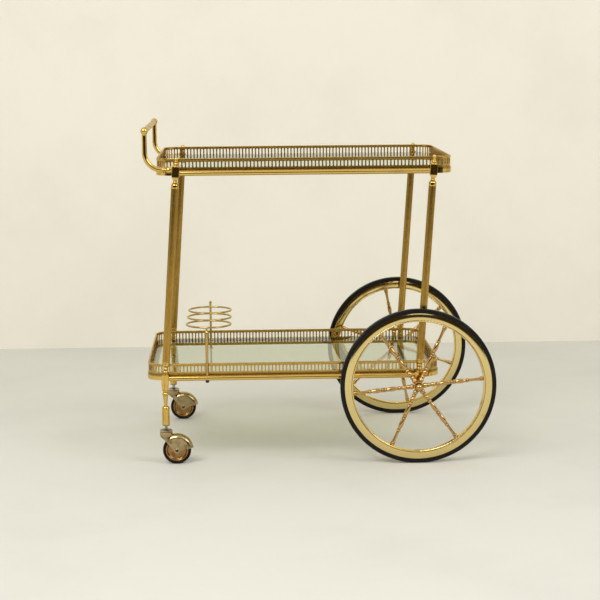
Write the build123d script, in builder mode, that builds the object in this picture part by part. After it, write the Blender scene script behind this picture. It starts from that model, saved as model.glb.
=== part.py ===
from build123d import *

import math
import os

# Bar cart with two glass trays, four leaning reeded legs, two large spoked
# wheels on one axle, two swivelling casters, a push handle and a bottle holder.
#
# Frame of the model: millimetres, +Z up, the floor at Z = 0, +X toward the
# large wheels, -Y the near side. "near" and "far" are the two long sides,
# "caster" and "wheel" the two ends.

# Clearances
RUNNING_FIT = 0.05          # radial gap of a wheel on its shaft
SEAT_FIT = 0.02             # radial gap of a fixed pin in its hole
SIDE_GAP = 0.35             # gap between parts that turn past each other
GLASS_GAP = 0.4             # gap round each glass plate

# Trays
TRAY_LENGTH = 637.5
TRAY_WIDTH = 434.0
TRAY_CORNER = 40.0
UPPER_BASE = 626.5          # underside of the upper tray frame
LOWER_BASE = 182.5          # underside of the lower tray frame
LOWER_TRAY_SET = 3.5        # how far the lower tray sits nearer the large wheels
FRAME_HEIGHT = 11.5
FRAME_WALL = 2.2            # upright outer band
LEDGE_WIDTH = 18.0          # flange that carries the glass
LEDGE_THICKNESS = 2.5
GLASS_THICKNESS = 6.5

# Pierced gallery that stands on each tray frame
GALLERY_STEP = 2.0          # set back from the frame's outer face
GALLERY_WALL = 1.6
GALLERY_HEIGHT = 25.0
FOOT_BAND = 5.5             # plain band under the slots
SLOT_LENGTH = 13.6
SLOT_WIDTH = 4.7
SLOT_PITCH = 7.7
RIM_HEIGHT = 5.4
RIM_THICKNESS = 3.4
RIM_ROUNDING = 1.2
CORNER_SLOTS = 8            # slots round each corner

# Legs
LEG_LEAN = 3.92             # degrees, toward the large wheels going up
LEG_SPACING = 550.4         # caster leg to wheel leg along X
LEG_DIAMETER = 16.0
LEG_BORE = 11.6
REEDS = 24
REED_GROOVE = 0.75          # radius of the groove between two reeds
BLOCK_SIDE = 16.0
BLOCK_HEIGHT = 22.7
BLOCK_CHAMFER = 0.5
UPPER_BLOCK_RISE = 2.9      # centre of the upper block above the rail's axis
LOWER_BLOCK_DROP = 3.0      # centre of the lower block below the rail's axis
BLOCK_TAPER = 5.8
BLOCK_TAPER_SIDE = 10.4
TIE_ROD_DIAMETER = 5.0
UPPER_NECK = 17.0           # turned neck between block and tube
LOWER_NECK = 27.0
FINIAL_HEIGHT = 20.3
TIE_ROD_IN_FINIAL = 7.0
TIE_ROD_IN_FOOT = 13.0

# Side rails
RAIL_DIAMETER = 11.0
RAIL_WALL = 1.2

# Screws that hold the frames to the blocks
SCREW_DIAMETER = 4.0
SCREW_DEPTH = 4.4
SCREW_SLACK = 0.2           # radial, in the tray frame's holes
SCREW_HEAD_DIAMETER = 7.0
SCREW_HEAD = 2.2

# Large wheels
AXLE_X = 210.0
AXLE_SET = 3.4              # how far the axle sits inside the legs' axes
WHEEL_DIAMETER = 338.4
WHEEL_PLANE = 252.7         # middle of the tyre from the cart's centre plane
AXLE_DIAMETER = 10.0
TYRE_DEPTH = 9.5            # rubber outside the rim's flanges
TYRE_WIDTH = 12.4
TYRE_ROOT = 9.0             # rubber held inside the rim
RIM_DEPTH = 18.0
RIM_WIDTH = 15.0
RIM_SHEET = 1.6
RIM_LIP = 1.5               # radius of the rolled inner lip
RIM_STEP = 0.8              # from the lip out to the rounded side
RIM_FLANGE = 1.0            # side of the rim at the tyre
RIM_CROWN = 0.5             # bulge of the rounded side
HUB_DIAMETER = 21.0
HUB_WIDTH = 21.0
HUB_NECK_DIAMETER = 15.0
SPOKE_COUNT = 6
SPOKE_PHASE_NEAR = 6.0      # degrees, spoke direction above +X
SPOKE_PHASE_FAR = 41.0
SPOKE_END_GAP = 0.03        # flat spoke end against the round rim
SPOKE_SPIGOT = 3.0
SPOKE_SPIGOT_DIAMETER = 4.0
NUT_ACROSS_FLATS = 16.0
NUT_HEX = 4.0
NUT_DOME = 9.0
NUT_THREAD_DEPTH = 8.0

# Casters
CASTER_DIAMETER = 61.4
CASTER_TRAIL = 23.0
CASTER_TYRE_DEPTH = 4.6
CASTER_TYRE_WIDTH = 13.0
CASTER_DISC_WIDTH = 11.0
CASTER_HUB_DIAMETER = 16.0
HOOD_GAP = 3.6              # over the tyre
HOOD_SHEET = 1.9
HOOD_INSIDE = 16.4          # between the two cheeks
HOOD_ROUND = 9.0            # how deep the rounded roof reaches down each cheek
HOOD_STAND = 1.3            # the roof stands out past the cheeks
HOOD_FRONT = 8.0            # degrees above +X where the hood ends
HOOD_REAR = 118.0           # degrees where it runs into the housing
HOUSING_DIAMETER = 28.0
HOUSING_BOTTOM = 57.0
HOUSING_TOP = 71.7
CAP_HEIGHT = 4.6
STEM_DIAMETER = 6.6
STEM_SOCKET = 26.0
PIN_DIAMETER = 5.0
PIN_HEAD_DIAMETER = 7.6
PIN_HEAD = 1.4

# Feet of the caster legs
FOOT_BOTTOM = 85.0
FOOT_TAPER_BOTTOM = 163.3
FOOT_TAPER_SIDE = 14.2
FOOT_CONE_TOP = 151.3
FERRULE_TOP = 129.0
FERRULE_DIAMETER = 16.4
FOOT_RING_DIAMETER = 14.2
FOOT_NECK_DIAMETER = 7.0

# Handle
HANDLE_REACH = 65.0         # from the block's axis to the upright arm
HANDLE_Z = 722.5
HANDLE_JOIN_Z = 639.5
HANDLE_BEND = 36.5
ARM_DIAMETER = 10.8
BALL_DIAMETER = 16.0
BALL_FLAT = 3.5             # radius of the flat where the grip meets the ball
BALL_CUP = 9.0              # cup below the ball
FERRULE_LENGTH = 20.0
GRIP_DIAMETER = 12.6
GRIP_GROOVE = 1.0
GRIP_BEADS = 5              # grooves in each ringed group

# Bottle holder on the lower tray
HOLDER_X = -242.0
RING_DIAMETER = 96.6        # on the wire's centre line
RING_WIRE = 4.0
RING_COUNT = 3
RING_PLANE = 298.6
RING_BRAZE = 0.3            # how far neighbouring rings are brazed together
REAR_POST_DIAMETER = 5.0
REAR_POST_RISE = 13.5       # above the rings
REAR_POST_FOOT = 8.4
FRONT_POST_X = -245.8
FRONT_POST_DIAMETER = 7.0
FRONT_POST_BALL = 9.0
FRONT_POST_DROP = 11.0      # ball below the rings
FRONT_POST_STUB = 4.0
POST_THREAD = 4.0
POST_NUT_ACROSS = 7.0
POST_NUT_HEIGHT = 4.0

# Worked out from the sizes above
LEAN = math.radians(LEG_LEAN)
LEG_Y = TRAY_WIDTH / 2 + BLOCK_SIDE / 2
WHEEL_LEG_X = AXLE_X + AXLE_SET
CASTER_X = WHEEL_LEG_X - LEG_SPACING
UPPER_RAIL_Z = UPPER_BASE + RAIL_DIAMETER / 2
LOWER_RAIL_Z = LOWER_BASE + RAIL_DIAMETER / 2
UPPER_BLOCK_Z = UPPER_RAIL_Z + UPPER_BLOCK_RISE
LOWER_BLOCK_Z = LOWER_RAIL_Z - LOWER_BLOCK_DROP
LOWER_BLOCK_TOP = LOWER_BLOCK_Z + BLOCK_HEIGHT / 2
BLOCK_RISE = BLOCK_HEIGHT / 2
LOWER_GLASS_Z = LOWER_BASE + FRAME_HEIGHT
WHEEL_RADIUS = WHEEL_DIAMETER / 2
RIM_OUTER = WHEEL_RADIUS - TYRE_DEPTH
RIM_INNER = RIM_OUTER - RIM_DEPTH
CASTER_RADIUS = CASTER_DIAMETER / 2
TIE_BORE = TIE_ROD_DIAMETER / 2 + RUNNING_FIT

SIDES = {"near": -1, "far": 1}
LEG_ENDS = {"caster": CASTER_X, "wheel": WHEEL_LEG_X}

os.makedirs("parts", exist_ok=True)


def save(builder, name):
    """Label a finished piece and write it as its own file."""
    builder.part.label = name
    export_step(builder.part, f"parts/{name}.step")


def axis_shift(height):
    """How far the leaning leg axis has moved along X at a height."""
    return math.tan(LEAN) * (height - LOWER_BLOCK_Z)


def on_leg(foot_x, side, along):
    """Point on a leg's axis, measured along it from the lower block's centre."""
    return (foot_x + along * math.sin(LEAN), side * LEG_Y, LOWER_BLOCK_Z + along * math.cos(LEAN))


def leg_section(foot_x, side, along):
    """Plane across a leg's axis."""
    return Plane(
        origin=on_leg(foot_x, side, along),
        x_dir=(math.cos(LEAN), 0, -math.sin(LEAN)),
        z_dir=(math.sin(LEAN), 0, math.cos(LEAN)),
    )


def leg_profile(foot_x, side, along):
    """Plane through a leg's axis: X is the radius and Y runs up the axis."""
    return Plane(
        origin=on_leg(foot_x, side, along),
        x_dir=(math.cos(LEAN), 0, -math.sin(LEAN)),
        z_dir=(0, -1, 0),
    )


def upright_profile(x, y, z):
    """Plane through a vertical axis: X is the radius and Y runs up."""
    return Plane(origin=(x, y, z), x_dir=(1, 0, 0), z_dir=(0, -1, 0))


def outward_profile(x, z, side):
    """Plane through a crosswise axis: X is the radius and Y runs outward."""
    return Plane(origin=(x, 0, z), x_dir=(1, 0, 0), z_dir=(0, 0, side))


def turned_outline(plane, stations):
    """Half outline of a turned piece on a plane, X its radius, Y its axis.

    Each station is (radius, height, bulge). The bulge is how far the edge
    that ends there stands out from a straight line; 0 is a straight edge.
    """
    with BuildSketch(plane) as outline:
        with BuildLine():
            for start, end in zip(stations, stations[1:]):
                bulge = end[2]
                if bulge == 0:
                    Line(start[:2], end[:2])
                    continue
                across = end[0] - start[0]
                along = end[1] - start[1]
                length = math.hypot(across, along)
                middle = (
                    (start[0] + end[0]) / 2 + bulge * along / length,
                    (start[1] + end[1]) / 2 - bulge * across / length,
                )
                ThreePointArc(start[:2], middle, end[:2])
            if stations[0][:2] != stations[-1][:2]:
                Line(stations[-1][:2], stations[0][:2])
        make_face()
    return outline.sketch


def dome_bulge(base, height):
    """Bulge of an arc from a dome's rim to its top, square to the axis there."""
    radius = (base**2 + height**2) / (2 * height)
    half_chord = math.hypot(base, height) / 2
    return radius - math.sqrt(radius**2 - half_chord**2)


def turn(plane, stations):
    """Turned solid about a profile plane's own Y axis, in the open part."""
    revolve(turned_outline(plane, stations), axis=Axis(plane.origin, plane.y_dir))


def bore_hole(plane, radius, depth):
    """Cut a round hole from a plane along its normal, in the open part."""
    with BuildSketch(plane) as outline:
        Circle(radius)
    extrude(outline.sketch, amount=depth, mode=Mode.SUBTRACT)


# Leg positions along the axis, from the lower block's centre
UPPER_BLOCK_AT = (UPPER_BLOCK_Z - LOWER_BLOCK_Z) / math.cos(LEAN)
UPPER_BLOCK_FLOOR = UPPER_BLOCK_AT - BLOCK_RISE - BLOCK_TAPER
TUBE_TOP = UPPER_BLOCK_FLOOR - UPPER_NECK
TUBE_BOTTOM = BLOCK_RISE + LOWER_NECK
TIE_TOP = UPPER_BLOCK_AT + BLOCK_RISE + TIE_ROD_IN_FINIAL
TIE_BOTTOM = BLOCK_RISE - TIE_ROD_IN_FOOT

UPPER_CENTRE_X = (CASTER_X + WHEEL_LEG_X) / 2 + axis_shift(UPPER_RAIL_Z)
LOWER_CENTRE_X = (CASTER_X + WHEEL_LEG_X) / 2 + axis_shift(LOWER_RAIL_Z) + LOWER_TRAY_SET
TRAYS = {"upper": (UPPER_CENTRE_X, UPPER_BASE), "lower": (LOWER_CENTRE_X, LOWER_BASE)}

# Place of each tray's blocks along the legs, and how far they lean
BLOCK_SEATS = {"upper": (UPPER_BLOCK_AT, LEAN), "lower": (0.0, 0.0)}


def block_side_face(foot_x, block_at, lean, toward):
    """Plane of a block's face toward +X or -X, its normal pointing away."""
    block_x, block_y, block_z = on_leg(foot_x, 0, block_at)
    half = toward * BLOCK_SIDE / 2
    return Plane(
        origin=(block_x + half * math.cos(lean), 0, block_z - half * math.sin(lean)),
        z_dir=(toward * math.cos(lean), 0, -toward * math.sin(lean)),
    )


def screw_place(tray, foot_x):
    """X and Z of the screw that holds one tray frame to one block."""
    height = TRAYS[tray][1] + (FRAME_HEIGHT - LEDGE_THICKNESS) / 2
    shift = axis_shift(height) if tray == "upper" else axis_shift(LOWER_RAIL_Z) + LOWER_TRAY_SET
    return foot_x + shift, height


def screw_places(tray):
    """(x, side, z) of the screws that hold one tray to its four blocks."""
    places = []
    for foot_x in LEG_ENDS.values():
        for side in SIDES.values():
            x, height = screw_place(tray, foot_x)
            places.append((x, side, height))
    return places


def drill_screws(tray, radius, start, depth):
    """Cut crosswise screw holes, from a distance off the centre plane outward."""
    for x, side, height in screw_places(tray):
        bore_hole(Plane(origin=(x, side * start, height), z_dir=(0, side, 0)), radius, depth)


# Tray frames: an angle with an upright band and a flange for the glass
for tray, (centre_x, base) in TRAYS.items():
    with BuildPart() as tray_frame:
        with BuildSketch(Plane((centre_x, 0, base))):
            RectangleRounded(TRAY_LENGTH, TRAY_WIDTH, TRAY_CORNER)
            RectangleRounded(
                TRAY_LENGTH - 2 * FRAME_WALL,
                TRAY_WIDTH - 2 * FRAME_WALL,
                TRAY_CORNER - FRAME_WALL,
                mode=Mode.SUBTRACT,
            )
        extrude(amount=FRAME_HEIGHT)
        with BuildSketch(Plane((centre_x, 0, base + FRAME_HEIGHT - LEDGE_THICKNESS))):
            RectangleRounded(TRAY_LENGTH, TRAY_WIDTH, TRAY_CORNER)
            RectangleRounded(
                TRAY_LENGTH - 2 * LEDGE_WIDTH,
                TRAY_WIDTH - 2 * LEDGE_WIDTH,
                TRAY_CORNER - LEDGE_WIDTH,
                mode=Mode.SUBTRACT,
            )
        extrude(amount=LEDGE_THICKNESS)
        drill_screws(tray, SCREW_DIAMETER / 2 + SCREW_SLACK, TRAY_WIDTH / 2 - FRAME_WALL - 1, FRAME_WALL + 2)
    save(tray_frame, f"{tray}_tray_frame")

# Glass plates, loose in their galleries on the flange
GLASS_INSET = GALLERY_STEP + GALLERY_WALL / 2 + RIM_THICKNESS / 2 + GLASS_GAP
for tray, (centre_x, base) in TRAYS.items():
    with BuildPart() as glass:
        with BuildSketch(Plane((centre_x, 0, base + FRAME_HEIGHT))):
            RectangleRounded(
                TRAY_LENGTH - 2 * GLASS_INSET,
                TRAY_WIDTH - 2 * GLASS_INSET,
                TRAY_CORNER - GLASS_INSET,
            )
        extrude(amount=GLASS_THICKNESS)
        chamfer(glass.faces().sort_by(Axis.Z)[-1].edges(), 0.6)
    save(glass, f"{tray}_glass")


def gallery_outline(plane):
    """Cross-section of the gallery: X outward from its outer face, Y up."""
    with BuildSketch(plane) as outline:
        with Locations((-GALLERY_WALL / 2, (GALLERY_HEIGHT - RIM_ROUNDING) / 2)):
            Rectangle(GALLERY_WALL, GALLERY_HEIGHT - RIM_ROUNDING)
        with Locations((-GALLERY_WALL / 2, GALLERY_HEIGHT - RIM_HEIGHT / 2)):
            RectangleRounded(RIM_THICKNESS, RIM_HEIGHT, RIM_ROUNDING)
    return outline.sketch


def pierce(plane):
    """Cut one upright slot through the wall behind a plane's origin."""
    with BuildSketch(plane) as outline:
        SlotOverall(SLOT_LENGTH, SLOT_WIDTH, rotation=90)
    extrude(outline.sketch, amount=RIM_THICKNESS, both=True, mode=Mode.SUBTRACT)


# Galleries: two straight side strips and two end strips with the corners
STRAIGHT_LENGTH = TRAY_LENGTH - 2 * TRAY_CORNER
STRAIGHT_WIDTH = TRAY_WIDTH - 2 * TRAY_CORNER
CORNER_RADIUS = TRAY_CORNER - GALLERY_STEP
SLOT_MIDDLE = FOOT_BAND + SLOT_LENGTH / 2
for tray, (centre_x, base) in TRAYS.items():
    sill = base + FRAME_HEIGHT
    for side_name, side in SIDES.items():
        outer_y = side * (TRAY_WIDTH / 2 - GALLERY_STEP)
        with BuildPart() as side_gallery:
            start = (centre_x - side * STRAIGHT_LENGTH / 2, outer_y, sill)
            along = Plane(origin=start, x_dir=(0, side, 0), z_dir=(side, 0, 0))
            extrude(gallery_outline(along), amount=STRAIGHT_LENGTH)
            middle = (centre_x, outer_y, sill + SLOT_MIDDLE)
            with BuildSketch(Plane(origin=middle, x_dir=(1, 0, 0), z_dir=(0, -1, 0))):
                with GridLocations(SLOT_PITCH, 1, int(STRAIGHT_LENGTH / SLOT_PITCH), 1):
                    SlotOverall(SLOT_LENGTH, SLOT_WIDTH, rotation=90)
            extrude(amount=RIM_THICKNESS, both=True, mode=Mode.SUBTRACT)
        save(side_gallery, f"{tray}_gallery_{side_name}")
    for end_name, end in {"caster": -1, "wheel": 1}.items():
        outer_x = centre_x + end * (TRAY_LENGTH / 2 - GALLERY_STEP)
        pivot_x = centre_x + end * STRAIGHT_LENGTH / 2
        with BuildPart() as end_gallery:
            start = (outer_x, end * STRAIGHT_WIDTH / 2, sill)
            across = Plane(origin=start, x_dir=(end, 0, 0), z_dir=(0, -end, 0))
            extrude(gallery_outline(across), amount=STRAIGHT_WIDTH)
            for side in SIDES.values():
                corner_start = (outer_x, side * STRAIGHT_WIDTH / 2, sill)
                pivot = (pivot_x, side * STRAIGHT_WIDTH / 2, sill)
                section = Plane(origin=corner_start, x_dir=(end, 0, 0), z_dir=(0, -end, 0))
                corner_axis = Axis(pivot, (0, 0, end * side))
                revolve(gallery_outline(section), axis=corner_axis, revolution_arc=90)
            middle = (outer_x, 0, sill + SLOT_MIDDLE)
            with BuildSketch(Plane(origin=middle, x_dir=(0, 1, 0), z_dir=(1, 0, 0))):
                with GridLocations(SLOT_PITCH, 1, int(STRAIGHT_WIDTH / SLOT_PITCH), 1):
                    SlotOverall(SLOT_LENGTH, SLOT_WIDTH, rotation=90)
            extrude(amount=RIM_THICKNESS, both=True, mode=Mode.SUBTRACT)
            for side in SIDES.values():
                for slot in range(CORNER_SLOTS):
                    turn_angle = math.radians(90 * (slot + 0.5) / CORNER_SLOTS)
                    away = (end * math.cos(turn_angle), side * math.sin(turn_angle), 0)
                    place = (
                        pivot_x + CORNER_RADIUS * away[0],
                        side * STRAIGHT_WIDTH / 2 + CORNER_RADIUS * away[1],
                        sill + SLOT_MIDDLE,
                    )
                    pierce(Plane(origin=place, x_dir=(-away[1], away[0], 0), z_dir=away))
        save(end_gallery, f"{tray}_gallery_{end_name}_end")

# Reeded leg tubes
for side_name, side in SIDES.items():
    for end_name, foot_x in LEG_ENDS.items():
        with BuildPart() as leg_tube:
            with BuildSketch(leg_section(foot_x, side, TUBE_BOTTOM)):
                Circle(LEG_DIAMETER / 2)
                Circle(LEG_BORE / 2, mode=Mode.SUBTRACT)
                with PolarLocations(LEG_DIAMETER / 2, REEDS):
                    Circle(REED_GROOVE, mode=Mode.SUBTRACT)
            extrude(amount=TUBE_TOP - TUBE_BOTTOM)
        save(leg_tube, f"leg_tube_{side_name}_{end_name}")

# Upper corner blocks, square to the leaning legs
with BuildPart() as upper_blocks:
    for side in SIDES.values():
        for foot_x in LEG_ENDS.values():
            with BuildSketch(leg_section(foot_x, side, UPPER_BLOCK_AT - BLOCK_RISE)):
                Rectangle(BLOCK_SIDE, BLOCK_SIDE)
    extrude(amount=BLOCK_HEIGHT)
    chamfer(upper_blocks.edges(), BLOCK_CHAMFER)
    for side in SIDES.values():
        for foot_x in LEG_ENDS.values():
            with BuildSketch(leg_section(foot_x, side, UPPER_BLOCK_AT - BLOCK_RISE)):
                Rectangle(BLOCK_SIDE - 2 * BLOCK_CHAMFER, BLOCK_SIDE - 2 * BLOCK_CHAMFER)
            with BuildSketch(leg_section(foot_x, side, UPPER_BLOCK_FLOOR)):
                Rectangle(BLOCK_TAPER_SIDE, BLOCK_TAPER_SIDE)
            loft()
            rod_hole = leg_section(foot_x, side, UPPER_BLOCK_FLOOR)
            bore_hole(rod_hole, TIE_BORE, BLOCK_TAPER + BLOCK_HEIGHT)
            screw_x, screw_z = screw_place("upper", foot_x)
            seat = Plane(origin=(screw_x, side * TRAY_WIDTH / 2, screw_z), z_dir=(0, side, 0))
            bore_hole(seat, SCREW_DIAMETER / 2 + SEAT_FIT, SCREW_DEPTH)
save(upper_blocks, "upper_blocks")

# Finials, turned, one on each upper block
with BuildPart() as finials:
    for side in SIDES.values():
        for foot_x in LEG_ENDS.values():
            top = FINIAL_HEIGHT
            ball_root = 3.3
            ball_height = 7.2
            rod_end = TIE_ROD_IN_FINIAL + SIDE_GAP
            profile = leg_profile(foot_x, side, UPPER_BLOCK_AT + BLOCK_RISE)
            turn(
                profile,
                [
                    (TIE_BORE, 0, 0),
                    (7.7, 0, 0),
                    (7.7, 2.0, 0.4),
                    (4.6, 3.7, -0.6),
                    (4.4, 8.2, 0.9),
                    (3.4, 8.8, 0),
                    (3.3, top - ball_height - 0.8, 1.0),
                    (ball_root, top - ball_height, -0.4),
                    (0, top, dome_bulge(ball_root, ball_height)),
                    (0, rod_end, 0),
                    (TIE_BORE, rod_end, 0),
                    (TIE_BORE, 0, 0),
                ],
            )
save(finials, "finials")

# Turned necks under the upper blocks, with the collar that caps the tube
with BuildPart() as upper_necks:
    for side in SIDES.values():
        for foot_x in LEG_ENDS.values():
            neck = UPPER_NECK
            turn(
                leg_profile(foot_x, side, TUBE_TOP),
                [
                    (TIE_BORE, 0, 0),
                    (7.4, 0, 0),
                    (8.2, 0.7, 0),
                    (8.2, 4.4, 0.2),
                    (5.2, neck - 7.2, 1.0),
                    (4.2, neck - 6.6, 0),
                    (4.2, neck - 3.0, 0.9),
                    (3.8, neck - 2.2, 0),
                    (5.0, neck, -0.4),
                    (TIE_BORE, neck, 0),
                ],
            )
save(upper_necks, "upper_necks")

# Turned necks between the tubes and the lower blocks, cut level on the block
with BuildPart() as lower_necks:
    for side in SIDES.values():
        for foot_x in LEG_ENDS.values():
            neck = LOWER_NECK
            turn(
                leg_profile(foot_x, side, BLOCK_RISE),
                [
                    (TIE_BORE, -BLOCK_CHAMFER * 3, 0),
                    (7.0, -BLOCK_CHAMFER * 3, 0),
                    (7.0, 1.8, 0.4),
                    (4.4, 3.2, -0.4),
                    (4.4, 9.6, 1.7),
                    (4.0, 10.6, -0.3),
                    (4.2, 15.8, 1.3),
                    (6.2, neck - 8.0, -0.5),
                    (8.0, neck - 7.2, 0),
                    (8.0, neck - 0.8, 0.2),
                    (7.2, neck, 0),
                    (TIE_BORE, neck, 0),
                ],
            )
    split(bisect_by=Plane.XY.offset(LOWER_BLOCK_TOP), keep=Keep.TOP)
save(lower_necks, "lower_necks")

# Threaded tie rods inside the legs, from the foot into the finial
with BuildPart() as tie_rods:
    for side in SIDES.values():
        for foot_x in LEG_ENDS.values():
            with BuildSketch(leg_section(foot_x, side, TIE_BOTTOM)):
                Circle(TIE_ROD_DIAMETER / 2)
            extrude(amount=TIE_TOP - TIE_BOTTOM)
save(tie_rods, "tie_rods")


def drill_foot(foot_x, side):
    """Holes in a lower block for its tie rod and its tray screw."""
    rod_hole = leg_section(foot_x, side, TIE_BOTTOM - SIDE_GAP)
    bore_hole(rod_hole, TIE_BORE, BLOCK_HEIGHT + TIE_ROD_IN_FOOT)
    screw_x, screw_z = screw_place("lower", foot_x)
    seat = Plane(origin=(screw_x, side * TRAY_WIDTH / 2, screw_z), z_dir=(0, side, 0))
    bore_hole(seat, SCREW_DIAMETER / 2 + SEAT_FIT, SCREW_DEPTH)


# Caster feet: block, tapered shank, ring, cone and bullet ferrule in one piece
for side_name, side in SIDES.items():
    with BuildPart() as caster_foot:
        block_floor = LOWER_BLOCK_Z - BLOCK_RISE
        with BuildSketch(Plane((CASTER_X, side * LEG_Y, block_floor))):
            Rectangle(BLOCK_SIDE, BLOCK_SIDE)
        extrude(amount=BLOCK_HEIGHT)
        chamfer(caster_foot.edges(), BLOCK_CHAMFER)
        with BuildSketch(Plane((CASTER_X, side * LEG_Y, block_floor))):
            Rectangle(BLOCK_SIDE - 2 * BLOCK_CHAMFER, BLOCK_SIDE - 2 * BLOCK_CHAMFER)
        with BuildSketch(Plane((CASTER_X, side * LEG_Y, FOOT_TAPER_BOTTOM))):
            Rectangle(FOOT_TAPER_SIDE, FOOT_TAPER_SIDE)
        loft()
        socket = STEM_DIAMETER / 2 + SEAT_FIT
        ring = FOOT_RING_DIAMETER / 2
        waist = FOOT_NECK_DIAMETER / 2
        barrel = FERRULE_DIAMETER / 2
        turn(
            upright_profile(CASTER_X, side * LEG_Y, 0),
            [
                (socket, FOOT_BOTTOM, 0),
                (barrel - 0.6, FOOT_BOTTOM, 0),
                (barrel, FOOT_BOTTOM + 0.8, 0),
                (barrel, FERRULE_TOP - 8.2, 0),
                (waist, FERRULE_TOP - 0.6, 2.0),
                (waist, FERRULE_TOP + 0.8, -0.2),
                (ring - 1.3, FOOT_CONE_TOP, 0),
                (ring - 1.3, FOOT_CONE_TOP + 6.0, 1.3),
                (ring - 1.7, FOOT_CONE_TOP + 6.8, 0),
                (ring - 1.7, FOOT_TAPER_BOTTOM - 2.6, -0.2),
                (ring - 0.3, FOOT_TAPER_BOTTOM - 1.8, 0),
                (ring - 0.3, FOOT_TAPER_BOTTOM, 0),
                (0, FOOT_TAPER_BOTTOM, 0),
                (0, FOOT_BOTTOM + STEM_SOCKET + SIDE_GAP, 0),
                (socket, FOOT_BOTTOM + STEM_SOCKET + SIDE_GAP, 0),
                (socket, FOOT_BOTTOM, 0),
            ],
        )
        drill_foot(CASTER_X, side)
    save(caster_foot, f"caster_foot_{side_name}")

# Axle feet: block that tapers over to the round bearing eye for the axle
for side_name, side in SIDES.items():
    with BuildPart() as axle_foot:
        block_floor = LOWER_BLOCK_Z - BLOCK_RISE
        with BuildSketch(Plane((WHEEL_LEG_X, side * LEG_Y, block_floor))):
            Rectangle(BLOCK_SIDE, BLOCK_SIDE)
        extrude(amount=BLOCK_HEIGHT)
        chamfer(axle_foot.faces().sort_by(Axis.Z)[-1].edges(), BLOCK_CHAMFER)
        inner_face = Plane(
            origin=(AXLE_X, side * TRAY_WIDTH / 2, WHEEL_RADIUS),
            x_dir=(1, 0, 0),
            z_dir=(0, -1, 0),
        )
        half = BLOCK_SIDE / 2
        eye_depth = WHEEL_RADIUS - block_floor
        with BuildSketch(inner_face):
            Circle(half)
            with BuildLine():
                Polyline(
                    (-half, 0),
                    (half, 0),
                    (AXLE_SET + half, eye_depth),
                    (AXLE_SET - half, eye_depth),
                    close=True,
                )
            make_face()
        extrude(amount=-side * BLOCK_SIDE)
        with BuildSketch(inner_face):
            Circle(AXLE_DIAMETER / 2 + SEAT_FIT)
        extrude(amount=-side * BLOCK_SIDE, mode=Mode.SUBTRACT)
        drill_foot(WHEEL_LEG_X, side)
    save(axle_foot, f"axle_foot_{side_name}")

# Screws from inside each tray frame into the blocks
with BuildPart() as tray_screws:
    for tray in TRAYS:
        for x, side, height in screw_places(tray):
            head_seat = (x, side * (TRAY_WIDTH / 2 - FRAME_WALL), height)
            with BuildSketch(Plane(origin=head_seat, z_dir=(0, side, 0), x_dir=(1, 0, 0))):
                Circle(SCREW_DIAMETER / 2)
            extrude(amount=FRAME_WALL + SCREW_DEPTH - SIDE_GAP)
            with BuildSketch(Plane(origin=head_seat, z_dir=(0, -side, 0), x_dir=(1, 0, 0))):
                Circle(SCREW_HEAD_DIAMETER / 2)
            extrude(amount=SCREW_HEAD)
save(tray_screws, "tray_screws")

# Side rails: tubes between the blocks, their ends cut to the leaning blocks
for tray, (centre_x, base) in TRAYS.items():
    block_at, lean = BLOCK_SEATS[tray]
    rail_z = base + RAIL_DIAMETER / 2
    with BuildPart() as side_rails:
        for side in SIDES.values():
            with BuildSketch(Plane(origin=(centre_x, side * LEG_Y, rail_z), z_dir=(1, 0, 0))):
                Circle(RAIL_DIAMETER / 2)
                Circle(RAIL_DIAMETER / 2 - RAIL_WALL, mode=Mode.SUBTRACT)
        extrude(amount=LEG_SPACING / 2, both=True)
        for foot_x, inward in ((CASTER_X, 1), (WHEEL_LEG_X, -1)):
            split(bisect_by=block_side_face(foot_x, block_at, lean, inward), keep=Keep.TOP)
        if tray == "lower":
            with BuildSketch(Plane((FRONT_POST_X, -LEG_Y, rail_z))):
                Circle(POST_THREAD / 2 + SEAT_FIT)
            extrude(amount=RAIL_DIAMETER, both=True, mode=Mode.SUBTRACT)
    save(side_rails, f"{tray}_side_rails")

# Axle through both axle feet
HUB_OUTER = WHEEL_PLANE + HUB_WIDTH / 2
with BuildPart() as axle:
    half_length = HUB_OUTER + SIDE_GAP + NUT_THREAD_DEPTH
    with BuildSketch(Plane(origin=(AXLE_X, 0, WHEEL_RADIUS), z_dir=(0, 1, 0))):
        Circle(AXLE_DIAMETER / 2)
    extrude(amount=half_length, both=True)
save(axle, "axle")

# Domed nuts on the axle's ends
with BuildPart() as axle_nuts:
    for side in SIDES.values():
        nut_seat = HUB_OUTER + SIDE_GAP
        bore = AXLE_DIAMETER / 2 + SEAT_FIT
        dome = NUT_ACROSS_FLATS / 2 - 0.4
        with BuildSketch(Plane(origin=(AXLE_X, side * nut_seat, WHEEL_RADIUS), z_dir=(0, side, 0))):
            RegularPolygon(NUT_ACROSS_FLATS / 2, 6, major_radius=False)
        extrude(amount=NUT_HEX)
        turn(
            outward_profile(AXLE_X, WHEEL_RADIUS, side),
            [
                (0, nut_seat + NUT_HEX, 0),
                (dome, nut_seat + NUT_HEX, 0),
                (0, nut_seat + NUT_HEX + NUT_DOME, dome_bulge(dome, NUT_DOME)),
                (0, nut_seat + NUT_HEX, 0),
            ],
        )
        with BuildSketch(Plane(origin=(AXLE_X, side * nut_seat, WHEEL_RADIUS), z_dir=(0, side, 0))):
            Circle(bore)
        extrude(amount=NUT_THREAD_DEPTH + SIDE_GAP, mode=Mode.SUBTRACT)
save(axle_nuts, "axle_nuts")


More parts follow.
